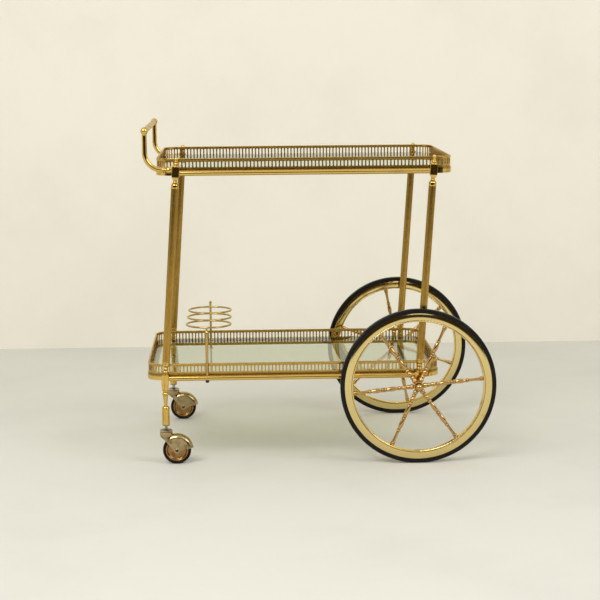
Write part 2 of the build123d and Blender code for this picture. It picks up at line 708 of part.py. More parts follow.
def spoke_profile(side, angle):
    """Plane through one spoke: X is its radius and Y runs away from the hub."""
    turn_by = math.radians(angle)
    return Plane(
        origin=(AXLE_X, side * WHEEL_PLANE, WHEEL_RADIUS),
        x_dir=(0, 1, 0),
        z_dir=(math.sin(turn_by), 0, -math.cos(turn_by)),
    )


def spoke_angles(phase):
    """Directions of the spokes, in degrees above +X."""
    return [phase + 360 / SPOKE_COUNT * index for index in range(SPOKE_COUNT)]


# Turned shape of a spoke: radius, share of the way to the rim, and bulge
SPOKE_TURNING = [
    (4.3, 0, 0),
    (4.3, 0.060, 1.5),
    (3.8, 0.075, 0),
    (3.8, 0.110, 1.2),
    (3.3, 0.125, 0),
    (3.3, 0.200, 1.7),
    (3.4, 0.220, 0),
    (3.4, 0.255, 1.4),
    (3.3, 0.270, 0),
    (3.7, 0.445, 1.4),
    (3.7, 0.460, 0),
    (3.7, 0.485, 1.6),
    (3.7, 0.500, 0),
    (3.7, 0.525, 1.6),
    (3.7, 0.540, 0),
    (3.3, 0.700, 1.5),
    (3.4, 0.715, 0),
    (3.4, 0.745, 1.4),
    (3.2, 0.760, 0),
    (3.8, 0.940, -0.3),
    (3.5, 1, 1.3),
]

# Large wheels
HUB_RADIUS = HUB_DIAMETER / 2
for side_name, side in SIDES.items():
    phase = SPOKE_PHASE_NEAR if side_name == "near" else SPOKE_PHASE_FAR
    with BuildPart() as hub:
        bore = AXLE_DIAMETER / 2 + RUNNING_FIT
        hub_inner = WHEEL_PLANE - HUB_WIDTH / 2
        turn(
            outward_profile(AXLE_X, WHEEL_RADIUS, side),
            [
                (bore, LEG_Y + BLOCK_SIDE / 2 + SIDE_GAP, 0),
                (HUB_NECK_DIAMETER / 2, LEG_Y + BLOCK_SIDE / 2 + SIDE_GAP, 0),
                (HUB_NECK_DIAMETER / 2, hub_inner, 0),
                (HUB_RADIUS - 1, hub_inner, 0),
                (HUB_RADIUS, hub_inner + 1, 0),
                (HUB_RADIUS, hub_inner + 4, 0),
                (HUB_RADIUS, WHEEL_PLANE - 5, -0.7),
                (HUB_RADIUS, WHEEL_PLANE + 5, 0),
                (HUB_RADIUS, HUB_OUTER - 4, -0.7),
                (HUB_RADIUS, HUB_OUTER - 1, 0),
                (HUB_RADIUS - 1, HUB_OUTER, 0),
                (bore, HUB_OUTER, 0),
            ],
        )
        for angle in spoke_angles(phase):
            spoke = spoke_profile(side, angle)
            socket = Plane(origin=spoke.origin, z_dir=spoke.y_dir).offset(HUB_RADIUS - SPOKE_SPIGOT)
            with BuildSketch(socket):
                Circle(SPOKE_SPIGOT_DIAMETER / 2 + SEAT_FIT)
            extrude(amount=SPOKE_SPIGOT * 2, mode=Mode.SUBTRACT)
    save(hub, f"wheel_hub_{side_name}")

    with BuildPart() as spokes:
        for angle in spoke_angles(phase):
            spigot = SPOKE_SPIGOT_DIAMETER / 2
            root = HUB_RADIUS - SPOKE_SPIGOT + SIDE_GAP
            reach = RIM_INNER - SPOKE_END_GAP - HUB_RADIUS
            outline = [(0, root, 0), (spigot, root, 0), (spigot, HUB_RADIUS, 0)]
            for radius, share, bulge in SPOKE_TURNING:
                outline.append((radius, HUB_RADIUS + reach * share, bulge))
            outline.append((0, HUB_RADIUS + reach, 0))
            turn(spoke_profile(side, angle), outline)
    save(spokes, f"wheel_spokes_{side_name}")

    with BuildPart() as wheel_rim:
        lip_half = RIM_WIDTH / 2 - RIM_LIP
        lip_top = RIM_INNER + 2 * RIM_LIP
        side_half = RIM_WIDTH / 2
        root_half = RIM_WIDTH / 2 - RIM_LIP - RIM_SHEET
        flange_half = root_half + RIM_FLANGE
        seat = RIM_OUTER - TYRE_ROOT
        turn(
            outward_profile(AXLE_X, WHEEL_RADIUS, side),
            [
                (RIM_INNER, WHEEL_PLANE - lip_half, 0),
                (RIM_INNER, WHEEL_PLANE + lip_half, 0),
                (lip_top, WHEEL_PLANE + lip_half, -RIM_LIP),
                (lip_top + RIM_STEP, WHEEL_PLANE + side_half, 0),
                (RIM_OUTER, WHEEL_PLANE + flange_half, -RIM_CROWN),
                (RIM_OUTER, WHEEL_PLANE + root_half, 0),
                (seat, WHEEL_PLANE + root_half, 0),
                (seat, WHEEL_PLANE - root_half, 0),
                (RIM_OUTER, WHEEL_PLANE - root_half, 0),
                (RIM_OUTER, WHEEL_PLANE - flange_half, 0),
                (lip_top + RIM_STEP, WHEEL_PLANE - side_half, -RIM_CROWN),
                (lip_top, WHEEL_PLANE - lip_half, 0),
                (RIM_INNER, WHEEL_PLANE - lip_half, -RIM_LIP),
            ],
        )
    save(wheel_rim, f"wheel_rim_{side_name}")

    with BuildPart() as wheel_tyre:
        root = RIM_WIDTH / 2 - RIM_LIP - RIM_SHEET
        half = TYRE_WIDTH / 2
        crown = half * 0.5
        turn(
            outward_profile(AXLE_X, WHEEL_RADIUS, side),
            [
                (RIM_OUTER - TYRE_ROOT, WHEEL_PLANE - root, 0),
                (RIM_OUTER - TYRE_ROOT, WHEEL_PLANE + root, 0),
                (RIM_OUTER, WHEEL_PLANE + root, 0),
                (RIM_OUTER, WHEEL_PLANE + half, 0),
                (WHEEL_RADIUS - TYRE_DEPTH * 0.3, WHEEL_PLANE + half, 0),
                (WHEEL_RADIUS, WHEEL_PLANE + crown, -0.8),
                (WHEEL_RADIUS, WHEEL_PLANE - crown, 0),
                (WHEEL_RADIUS - TYRE_DEPTH * 0.3, WHEEL_PLANE - half, -0.8),
                (RIM_OUTER, WHEEL_PLANE - half, 0),
                (RIM_OUTER, WHEEL_PLANE - root, 0),
                (RIM_OUTER - TYRE_ROOT, WHEEL_PLANE - root, 0),
            ],
        )
    save(wheel_tyre, f"wheel_tyre_{side_name}")


# Casters
CASTER_WHEEL_X = CASTER_X + CASTER_TRAIL
CASTER_SEAT = CASTER_RADIUS - CASTER_TYRE_DEPTH
HOOD_OUTER = CASTER_RADIUS + HOOD_GAP + HOOD_SHEET
HOOD_HALF = HOOD_INSIDE / 2 + HOOD_SHEET
ROOF_HALF = HOOD_HALF + HOOD_STAND
ROOF_RADIUS = (ROOF_HALF**2 + HOOD_ROUND**2) / (2 * HOOD_ROUND) - HOOD_SHEET
ROOF_DROP = ROOF_RADIUS - math.sqrt(ROOF_RADIUS**2 - (HOOD_INSIDE / 2) ** 2)


def caster_plane(side):
    """Upright lengthwise plane of one caster, its origin at the wheel's centre."""
    return Plane(origin=(CASTER_WHEEL_X, side * LEG_Y, CASTER_RADIUS), x_dir=(1, 0, 0), z_dir=(0, -1, 0))


def caster_axle_profile(side):
    """Plane through the caster's axle: X is the radius and Y runs along it."""
    return Plane(origin=(CASTER_WHEEL_X, side * LEG_Y, CASTER_RADIUS), x_dir=(1, 0, 0), z_dir=(0, 0, 1))


def polar(radius, angle):
    """Point at a radius and an angle in degrees."""
    return (radius * math.cos(math.radians(angle)), radius * math.sin(math.radians(angle)))


with BuildPart() as caster_stems:
    for side in SIDES.values():
        shank = STEM_DIAMETER / 2
        with BuildSketch(Plane((CASTER_X, side * LEG_Y, HOUSING_BOTTOM + SIDE_GAP))):
            Circle(shank)
        extrude(amount=FOOT_BOTTOM + STEM_SOCKET - HOUSING_BOTTOM - SIDE_GAP)
save(caster_stems, "caster_stems")

# Raceway caps, fixed on the stems above the swivelling housings
with BuildPart() as caster_caps:
    for side in SIDES.values():
        cap_floor = HOUSING_TOP + SIDE_GAP
        cap = HOUSING_DIAMETER / 2
        bore = STEM_DIAMETER / 2 + SEAT_FIT
        turn(
            upright_profile(CASTER_X, side * LEG_Y, cap_floor),
            [
                (bore, 0, 0),
                (cap - 0.8, 0, 0),
                (cap, CAP_HEIGHT * 0.45, 0.4),
                (cap - 1.8, CAP_HEIGHT * 0.75, 0),
                (bore + 3.0, CAP_HEIGHT * 0.75, 0),
                (bore + 2.0, CAP_HEIGHT, 0),
                (bore, CAP_HEIGHT, 0),
            ],
        )
save(caster_caps, "caster_caps")

for side_name, side in SIDES.items():
    # Hooded fork: housing round the stem, two cheeks, a roof and its rolled lips
    with BuildPart() as caster_fork:
        housing = HOUSING_DIAMETER / 2
        turn(
            upright_profile(CASTER_X, side * LEG_Y, 0),
            [
                (0, HOUSING_BOTTOM - 4.0, 0),
                (housing - 9.0, HOUSING_BOTTOM - 4.0, 0),
                (housing - 0.6, HOUSING_BOTTOM + 5.0, 0.6),
                (housing, HOUSING_TOP - 7.0, 0),
                (housing, HOUSING_TOP - 1.0, 0),
                (housing - 1.0, HOUSING_TOP, 0),
                (0, HOUSING_TOP, 0),
                (0, HOUSING_BOTTOM - 4.0, 0),
            ],
        )
        cheek_top = HOOD_OUTER - HOOD_ROUND + HOOD_SHEET
        tip = polar(cheek_top, HOOD_FRONT)
        rear = polar(cheek_top, HOOD_REAR)
        eye = PIN_HEAD_DIAMETER * 0.9
        with BuildSketch(caster_plane(side)):
            with BuildLine():
                ThreePointArc(tip, polar(cheek_top, (HOOD_FRONT + HOOD_REAR) / 2), rear)
                back = (-CASTER_TRAIL - housing + 3.0, HOUSING_BOTTOM - CASTER_RADIUS + 4.0)
                waist = (-CASTER_TRAIL - 1.0, HOUSING_BOTTOM - CASTER_RADIUS - 5.5)
                Line(rear, back)
                Line(back, waist)
                Line(waist, polar(eye, 200))
                ThreePointArc(polar(eye, 200), polar(eye, 250), polar(eye, 300))
                ThreePointArc(polar(eye, 300), (14.0, 1.0), tip)
            make_face()
        extrude(amount=HOOD_HALF, both=True)
        with BuildSketch(caster_plane(side)):
            Circle(HOOD_OUTER - HOOD_SHEET)
        extrude(amount=HOOD_INSIDE / 2, both=True, mode=Mode.SUBTRACT)
        front = math.radians(HOOD_FRONT)
        section = Plane(
            origin=caster_plane(side).origin,
            x_dir=(math.cos(front), 0, math.sin(front)),
            z_dir=(-math.sin(front), 0, math.cos(front)),
        )
        with BuildSketch(section) as roof:
            with BuildLine():
                skirt = HOOD_OUTER - HOOD_ROUND
                shoulder = HOOD_OUTER - HOOD_SHEET - ROOF_DROP
                Line((skirt, -HOOD_INSIDE / 2), (skirt, -ROOF_HALF))
                ThreePointArc((skirt, -ROOF_HALF), (HOOD_OUTER, 0), (skirt, ROOF_HALF))
                Line((skirt, ROOF_HALF), (skirt, HOOD_INSIDE / 2))
                Line((skirt, HOOD_INSIDE / 2), (shoulder, HOOD_INSIDE / 2))
                ThreePointArc(
                    (shoulder, HOOD_INSIDE / 2),
                    (HOOD_OUTER - HOOD_SHEET, 0),
                    (shoulder, -HOOD_INSIDE / 2),
                )
                Line((shoulder, -HOOD_INSIDE / 2), (skirt, -HOOD_INSIDE / 2))
            make_face()
        hood_axis = Axis(section.origin, (0, -1, 0))
        revolve(roof.sketch, axis=hood_axis, revolution_arc=HOOD_REAR - HOOD_FRONT)
        with BuildSketch(Plane((CASTER_X, side * LEG_Y, HOUSING_TOP))):
            Circle(STEM_DIAMETER / 2 + RUNNING_FIT)
        extrude(amount=CASTER_RADIUS - HOUSING_TOP, mode=Mode.SUBTRACT)
        with BuildSketch(caster_plane(side)):
            Circle(PIN_DIAMETER / 2 + SEAT_FIT)
        extrude(amount=HOOD_HALF, both=True, mode=Mode.SUBTRACT)
    save(caster_fork, f"caster_fork_{side_name}")

    with BuildPart() as caster_pin:
        head = HOOD_HALF + PIN_HEAD
        shank = PIN_DIAMETER / 2
        round_head = dome_bulge(PIN_HEAD_DIAMETER / 2, PIN_HEAD)
        turn(
            caster_axle_profile(side),
            [
                (0, -head, 0),
                (PIN_HEAD_DIAMETER / 2, -HOOD_HALF, round_head),
                (shank, -HOOD_HALF, 0),
                (shank, HOOD_HALF, 0),
                (PIN_HEAD_DIAMETER / 2, HOOD_HALF, 0),
                (0, head, round_head),
            ],
        )
    save(caster_pin, f"caster_pin_{side_name}")

    with BuildPart() as caster_disc:
        bore = PIN_DIAMETER / 2 + RUNNING_FIT
        hub_half = HOOD_INSIDE / 2 - SIDE_GAP
        boss = CASTER_HUB_DIAMETER / 2
        half = CASTER_DISC_WIDTH / 2
        web = half * 0.62
        turn(
            caster_axle_profile(side),
            [
                (bore, -hub_half, 0),
                (boss - 2.0, -hub_half, 0),
                (boss, -web, 0),
                (CASTER_SEAT - 6.6, -web, 0),
                (CASTER_SEAT - 5.0, -half, -0.3),
                (CASTER_SEAT - 1.2, -half, 0.9),
                (CASTER_SEAT, -half + 1.0, 0),
                (CASTER_SEAT, half - 1.0, 0),
                (CASTER_SEAT - 1.2, half, 0),
                (CASTER_SEAT - 5.0, half, 0.9),
                (CASTER_SEAT - 6.6, web, -0.3),
                (boss, web, 0),
                (boss - 2.0, hub_half, 0),
                (bore, hub_half, 0),
            ],
        )
    save(caster_disc, f"caster_disc_{side_name}")

    with BuildPart() as caster_tyre:
        half = CASTER_TYRE_WIDTH / 2
        edge = CASTER_TYRE_DEPTH * 0.55
        seat = CASTER_SEAT + SEAT_FIT
        turn(
            caster_axle_profile(side),
            [
                (seat, -half + 1.2, 0),
                (CASTER_SEAT + 1.2, -half, 0.3),
                (CASTER_RADIUS - edge, -half, 0),
                (CASTER_RADIUS, -half + edge, 0.7),
                (CASTER_RADIUS, half - edge, 0),
                (CASTER_RADIUS - edge, half, 0.7),
                (CASTER_SEAT + 1.2, half, 0),
                (seat, half - 1.2, 0.3),
            ],
        )
    save(caster_tyre, f"caster_tyre_{side_name}")

# Push handle: two bent arms, ringed ferrules at the blocks, balls and a grip
JOIN_X = CASTER_X + axis_shift(HANDLE_JOIN_Z)
HANDLE_X = CASTER_X + axis_shift(UPPER_BLOCK_Z) - HANDLE_REACH
ARM_END_X = JOIN_X - BLOCK_SIDE / 2 - FERRULE_LENGTH
ARM_TOP = HANDLE_Z - BALL_CUP
for side_name, side in SIDES.items():
    with BuildPart() as handle_arm:
        with BuildLine(upright_profile(0, side * LEG_Y, 0)) as route:
            FilletPolyline(
                (HANDLE_X, ARM_TOP),
                (HANDLE_X, HANDLE_JOIN_Z),
                (ARM_END_X, HANDLE_JOIN_Z),
                radius=HANDLE_BEND,
            )
        with BuildSketch(Plane(origin=route.line @ 0, z_dir=route.line % 0)):
            Circle(ARM_DIAMETER / 2)
        sweep(path=route.line)
    save(handle_arm, f"handle_arm_{side_name}")

with BuildPart() as handle_ferrules:
    for side in SIDES.values():
        arm = ARM_DIAMETER / 2
        profile = Plane(origin=(ARM_END_X, side * LEG_Y, HANDLE_JOIN_Z), x_dir=(0, 0, 1), z_dir=(0, 1, 0))
        turn(
            profile,
            [
                (0, 0, 0),
                (arm, 0, 0),
                (arm, 2.8, 1.2),
                (arm - 0.4, 3.6, 0),
                (arm - 0.4, 6.0, 1.3),
                (arm - 1.0, 7.4, 0),
                (arm + 1.4, 15.5, 1.1),
                (arm + 1.0, FERRULE_LENGTH + 2, 0),
                (0, FERRULE_LENGTH + 2, 0),
            ],
        )
    split(bisect_by=block_side_face(CASTER_X, UPPER_BLOCK_AT, LEAN, -1), keep=Keep.TOP)
save(handle_ferrules, "handle_ferrules")

BALL_RADIUS = BALL_DIAMETER / 2
GRIP_HALF = LEG_Y - math.sqrt(BALL_RADIUS**2 - BALL_FLAT**2)
with BuildPart() as handle_balls:
    cup = BALL_RADIUS * 0.75
    cup_rise = BALL_RADIUS + math.sqrt(BALL_RADIUS**2 - cup**2)
    for side in SIDES.values():
        arm = ARM_DIAMETER / 2
        turn(
            upright_profile(HANDLE_X, side * LEG_Y, HANDLE_Z),
            [
                (0, -BALL_CUP, 0),
                (arm, -BALL_CUP, 0),
                (arm, -BALL_CUP + 1.0, 0.4),
                (cup, BALL_RADIUS - cup_rise, -0.3),
                (0, BALL_RADIUS, dome_bulge(cup, cup_rise)),
                (0, -BALL_CUP, 0),
            ],
        )
    with BuildSketch(Plane(origin=(HANDLE_X, 0, HANDLE_Z), z_dir=(0, 1, 0))):
        Circle(BALL_DIAMETER)
    extrude(amount=GRIP_HALF, both=True, mode=Mode.SUBTRACT)
save(handle_balls, "handle_balls")

with BuildPart() as handle_grip:
    grip = GRIP_DIAMETER / 2
    outline = [(0, -GRIP_HALF, 0), (BALL_FLAT, -GRIP_HALF, 0), (grip - 0.8, -GRIP_HALF + 4, 0.6)]
    stretch = GRIP_HALF - 4
    for group in (-0.86, -0.42, 0.42, 0.86):
        for bead in range(GRIP_BEADS):
            at = group * stretch + (bead - (GRIP_BEADS - 1) / 2) * GRIP_GROOVE * 4
            outline += [
                (grip, at - GRIP_GROOVE, 0),
                (grip - 0.7, at - GRIP_GROOVE * 0.5, 0),
                (grip - 0.7, at + GRIP_GROOVE * 0.5, 0),
                (grip, at + GRIP_GROOVE, 0),
            ]
    outline += [(grip - 0.8, GRIP_HALF - 4, 0), (BALL_FLAT, GRIP_HALF, 0.6), (0, GRIP_HALF, 0)]
    turn(Plane(origin=(HANDLE_X, 0, HANDLE_Z), x_dir=(1, 0, 0), z_dir=(0, 0, 1)), outline)
save(handle_grip, "handle_grip")

# Bottle holder: brazed wire rings on a front post and a rear post
WIRE_RADIUS = RING_WIRE / 2
RING_RADIUS = RING_DIAMETER / 2
RING_STEP = RING_DIAMETER + RING_WIRE - RING_BRAZE
FIRST_RING_Y = -LEG_Y + RING_RADIUS
LAST_RING_Y = FIRST_RING_Y + (RING_COUNT - 1) * RING_STEP
REAR_POST_Y = LAST_RING_Y + RING_RADIUS + WIRE_RADIUS + REAR_POST_DIAMETER / 2 - 0.6
RAIL_TOP = LOWER_BASE + RAIL_DIAMETER
GLASS_TOP = LOWER_GLASS_Z + GLASS_THICKNESS

for ring in range(RING_COUNT):
    ring_y = FIRST_RING_Y + ring * RING_STEP
    with BuildPart() as bottle_ring:
        with Locations((HOLDER_X, ring_y, RING_PLANE)):
            Torus(RING_RADIUS, WIRE_RADIUS)
        if ring > 0:
            split(bisect_by=Plane(origin=(HOLDER_X, ring_y - RING_STEP / 2, RING_PLANE), z_dir=(0, 1, 0)))
        if ring < RING_COUNT - 1:
            split(bisect_by=Plane(origin=(HOLDER_X, ring_y + RING_STEP / 2, RING_PLANE), z_dir=(0, -1, 0)))
        with BuildSketch(Plane((HOLDER_X, REAR_POST_Y, RING_PLANE))):
            Circle(REAR_POST_DIAMETER / 2)
        extrude(amount=RING_WIRE, both=True, mode=Mode.SUBTRACT)
    save(bottle_ring, f"bottle_ring_{ring + 1}")

with BuildPart() as rear_post:
    shaft = REAR_POST_DIAMETER / 2
    foot = REAR_POST_FOOT / 2
    tip = RING_PLANE + REAR_POST_RISE
    turn(
        upright_profile(HOLDER_X, REAR_POST_Y, 0),
        [
            (0, GLASS_TOP, 0),
            (foot, GLASS_TOP, 0),
            (foot, GLASS_TOP + 1.6, 0.3),
            (shaft, GLASS_TOP + 3.0, 0),
            (shaft, tip - shaft * 2, 0),
            (0, tip, dome_bulge(shaft, shaft * 2)),
            (0, GLASS_TOP, 0),
        ],
    )
save(rear_post, "bottle_holder_rear_post")

with BuildPart() as front_post:
    shaft = FRONT_POST_DIAMETER / 2
    ball = FRONT_POST_BALL / 2
    stub = FRONT_POST_STUB / 2
    thread = POST_THREAD / 2
    ball_z = RING_PLANE - FRONT_POST_DROP
    turn(
        upright_profile(FRONT_POST_X, -LEG_Y, 0),
        [
            (0, LOWER_BASE - POST_NUT_HEIGHT - 1.0, 0),
            (thread, LOWER_BASE - POST_NUT_HEIGHT - 1.0, 0),
            (thread, RAIL_TOP, 0),
            (shaft - 0.8, RAIL_TOP, 0),
            (shaft, ball_z - ball * 1.2, 0),
            (stub, ball_z + ball * 0.95, ball - (shaft + stub) / 2),
            (stub, RING_PLANE, 0),
            (0, RING_PLANE, 0),
            (0, LOWER_BASE - POST_NUT_HEIGHT - 1.0, 0),
        ],
    )
    with Locations((HOLDER_X, FIRST_RING_Y, RING_PLANE)):
        Torus(RING_RADIUS, WIRE_RADIUS, mode=Mode.SUBTRACT)
save(front_post, "bottle_holder_front_post")

with BuildPart() as post_nut:
    with BuildSketch(Plane((FRONT_POST_X, -LEG_Y, LOWER_BASE))):
        RegularPolygon(POST_NUT_ACROSS / 2, 6, major_radius=False)
        Circle(POST_THREAD / 2 + SEAT_FIT, mode=Mode.SUBTRACT)
    extrude(amount=-POST_NUT_HEIGHT)
save(post_nut, "bottle_holder_nut")
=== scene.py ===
"""Bar cart: finishes, small fittings, studio and camera round the fixed CAD frame."""

import logging
import math
from abc import ABC, abstractmethod
from dataclasses import dataclass
from enum import Enum
from typing import Callable, ClassVar, Union

import bpy
from mathutils import Matrix, Vector


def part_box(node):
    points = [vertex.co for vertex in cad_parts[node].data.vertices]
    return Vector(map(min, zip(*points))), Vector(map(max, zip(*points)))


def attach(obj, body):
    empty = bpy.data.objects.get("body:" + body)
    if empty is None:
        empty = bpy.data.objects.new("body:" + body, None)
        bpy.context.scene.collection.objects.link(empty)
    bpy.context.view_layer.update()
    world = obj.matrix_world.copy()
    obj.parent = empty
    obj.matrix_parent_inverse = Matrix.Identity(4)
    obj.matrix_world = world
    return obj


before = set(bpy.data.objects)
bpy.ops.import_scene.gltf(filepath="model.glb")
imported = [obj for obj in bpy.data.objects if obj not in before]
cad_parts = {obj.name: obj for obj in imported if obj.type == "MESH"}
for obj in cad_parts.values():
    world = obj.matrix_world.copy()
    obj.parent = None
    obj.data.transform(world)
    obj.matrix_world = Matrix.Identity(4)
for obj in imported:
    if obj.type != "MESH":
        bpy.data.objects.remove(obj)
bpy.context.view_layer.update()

LOG = logging.getLogger("bar_cart")

Colour = tuple[float, float, float]
Place = tuple[float, float, float]
Number = Union[int, float]
Socket = bpy.types.NodeSocket
Slot = Union[int, str]
Owner = Union[bpy.types.Material, bpy.types.World]

LEG_LEAN = math.radians(3.92)
LEG_RADIUS = 0.008
RINGS = (1, 2, 3)
LEG_ENDS = ("caster", "wheel")

# Noise is squeezed to this share along a mark, so that it runs as a line
MARK_SQUEEZE = 0.02
STREAK_SQUEEZE = 0.05

# Features per metre in the metal, and how strongly the fine marks show
HAZE_PER_PATCH = 5.6
FRECKLES = 170.0
FRECKLE_GROUPS = 35.0
STREAKS = 210.0
MARK_TONE = 0.08
FRECKLE_ROUGHNESS = 0.25
BROWNED_TONE = 0.7
SPOT_SHADE = 0.35
COAT_ROUGHNESS = 0.06
LEAST_ROUGHNESS = 0.03

# Faces whose normal has this share along Z count as square to it
SQUARE_TO_Z = 0.9

# Edges are shaded smooth below these angles
SMOOTH_BELOW = math.radians(35)
SMOOTH_BRAZE_BELOW = math.radians(60)


def middle(node_name: str) -> Vector:
    """Middle of a CAD node's box, in metres."""
    low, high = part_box(node_name)
    return (Vector(low) + Vector(high)) / 2


AXLE = middle("wheel_tyre_near")
CASTER_WHEEL = middle("caster_tyre_near")


class Side(Enum):
    """The two long sides of the cart, with the sign of their Y."""

    NEAR = -1
    FAR = 1

    @property
    def tag(self) -> str:
        """Name of the side as the CAD nodes spell it."""
        return self.name.lower()


class Level(Enum):
    """The two trays."""

    UPPER = "upper"
    LOWER = "lower"


class Grain(Enum):
    """Which way the fine marks of a metal finish run."""

    CLOUD = "no direction"
    ALONG_LEG = "along the leaning legs"
    ROUND_WHEEL = "round the large wheels' axle"
    ROUND_CASTER = "round the casters' axles"
    TURNED_UPRIGHT = "rings round an upright axis"
    TURNED_CROSSWISE = "rings round a crosswise axis"


# Shader graph helpers


class Signal:
    """A number that varies over a surface, with ordinary arithmetic."""

    def __init__(self, graph: "Graph", socket: Socket) -> None:
        """Wrap one output socket.

        Args:
            graph: Graph that holds the socket's node.
            socket: The output that carries the value.
        """
        self.graph = graph
        self.socket = socket

    def _math(self, operation: str, *others: "Value", swap: bool = False) -> "Signal":
        """Join this value and others in one Math node.

        Args:
            operation: Blender's name for the operation.
            others: The remaining operands.
            swap: True where this value is the second operand.

        Returns:
            The result as a new signal.
        """
        operands: list[Value] = [self, *others]
        if swap:
            operands.reverse()
        node = self.graph.node("ShaderNodeMath", {"operation": operation}, dict(enumerate(operands)))
        return Signal(self.graph, node.outputs[0])

    def __add__(self, other: "Value") -> "Signal":
        """Sum."""
        return self._math("ADD", other)

    def __radd__(self, other: "Value") -> "Signal":
        """Sum with this value second."""
        return self._math("ADD", other, swap=True)

    def __sub__(self, other: "Value") -> "Signal":
        """Difference."""
        return self._math("SUBTRACT", other)

    def __rsub__(self, other: "Value") -> "Signal":
        """Difference with this value taken away."""
        return self._math("SUBTRACT", other, swap=True)

    def __mul__(self, other: "Value") -> "Signal":
        """Product."""
        return self._math("MULTIPLY", other)

    def __rmul__(self, other: "Value") -> "Signal":
        """Product with this value second."""
        return self._math("MULTIPLY", other, swap=True)

    def root(self) -> "Signal":
        """Square root."""
        return self._math("SQRT")

    def sine(self) -> "Signal":
        """Sine."""
        return self._math("SINE")

    def absolute(self) -> "Signal":
        """Absolute value."""
        return self._math("ABSOLUTE")

    def larger(self, other: "Value") -> "Signal":
        """Larger of two values."""
        return self._math("MAXIMUM", other)

    def smaller(self, other: "Value") -> "Signal":
        """Smaller of two values."""
        return self._math("MINIMUM", other)

    def step(self, low: float, high: float) -> "Signal":
        """Smooth step from 0 at one value to 1 at another.

        Args:
            low: Value that gives 0.
            high: Value that gives 1; it may be the smaller of the two.

        Returns:
            The stepped signal, between 0 and 1.
        """
        node = self.graph.node(
            "ShaderNodeMapRange",
            {"interpolation_type": "SMOOTHSTEP"},
            {"Value": self, "From Min": low, "From Max": high},
        )
        return Signal(self.graph, node.outputs[0])

    def between(self, low: float, high: float) -> "Signal":
        """Spread a 0 to 1 signal over another range.

        Args:
            low: Result at 0.
            high: Result at 1.

        Returns:
            The spread signal.
        """
        return self * (high - low) + low


Value = Union[Signal, Number]


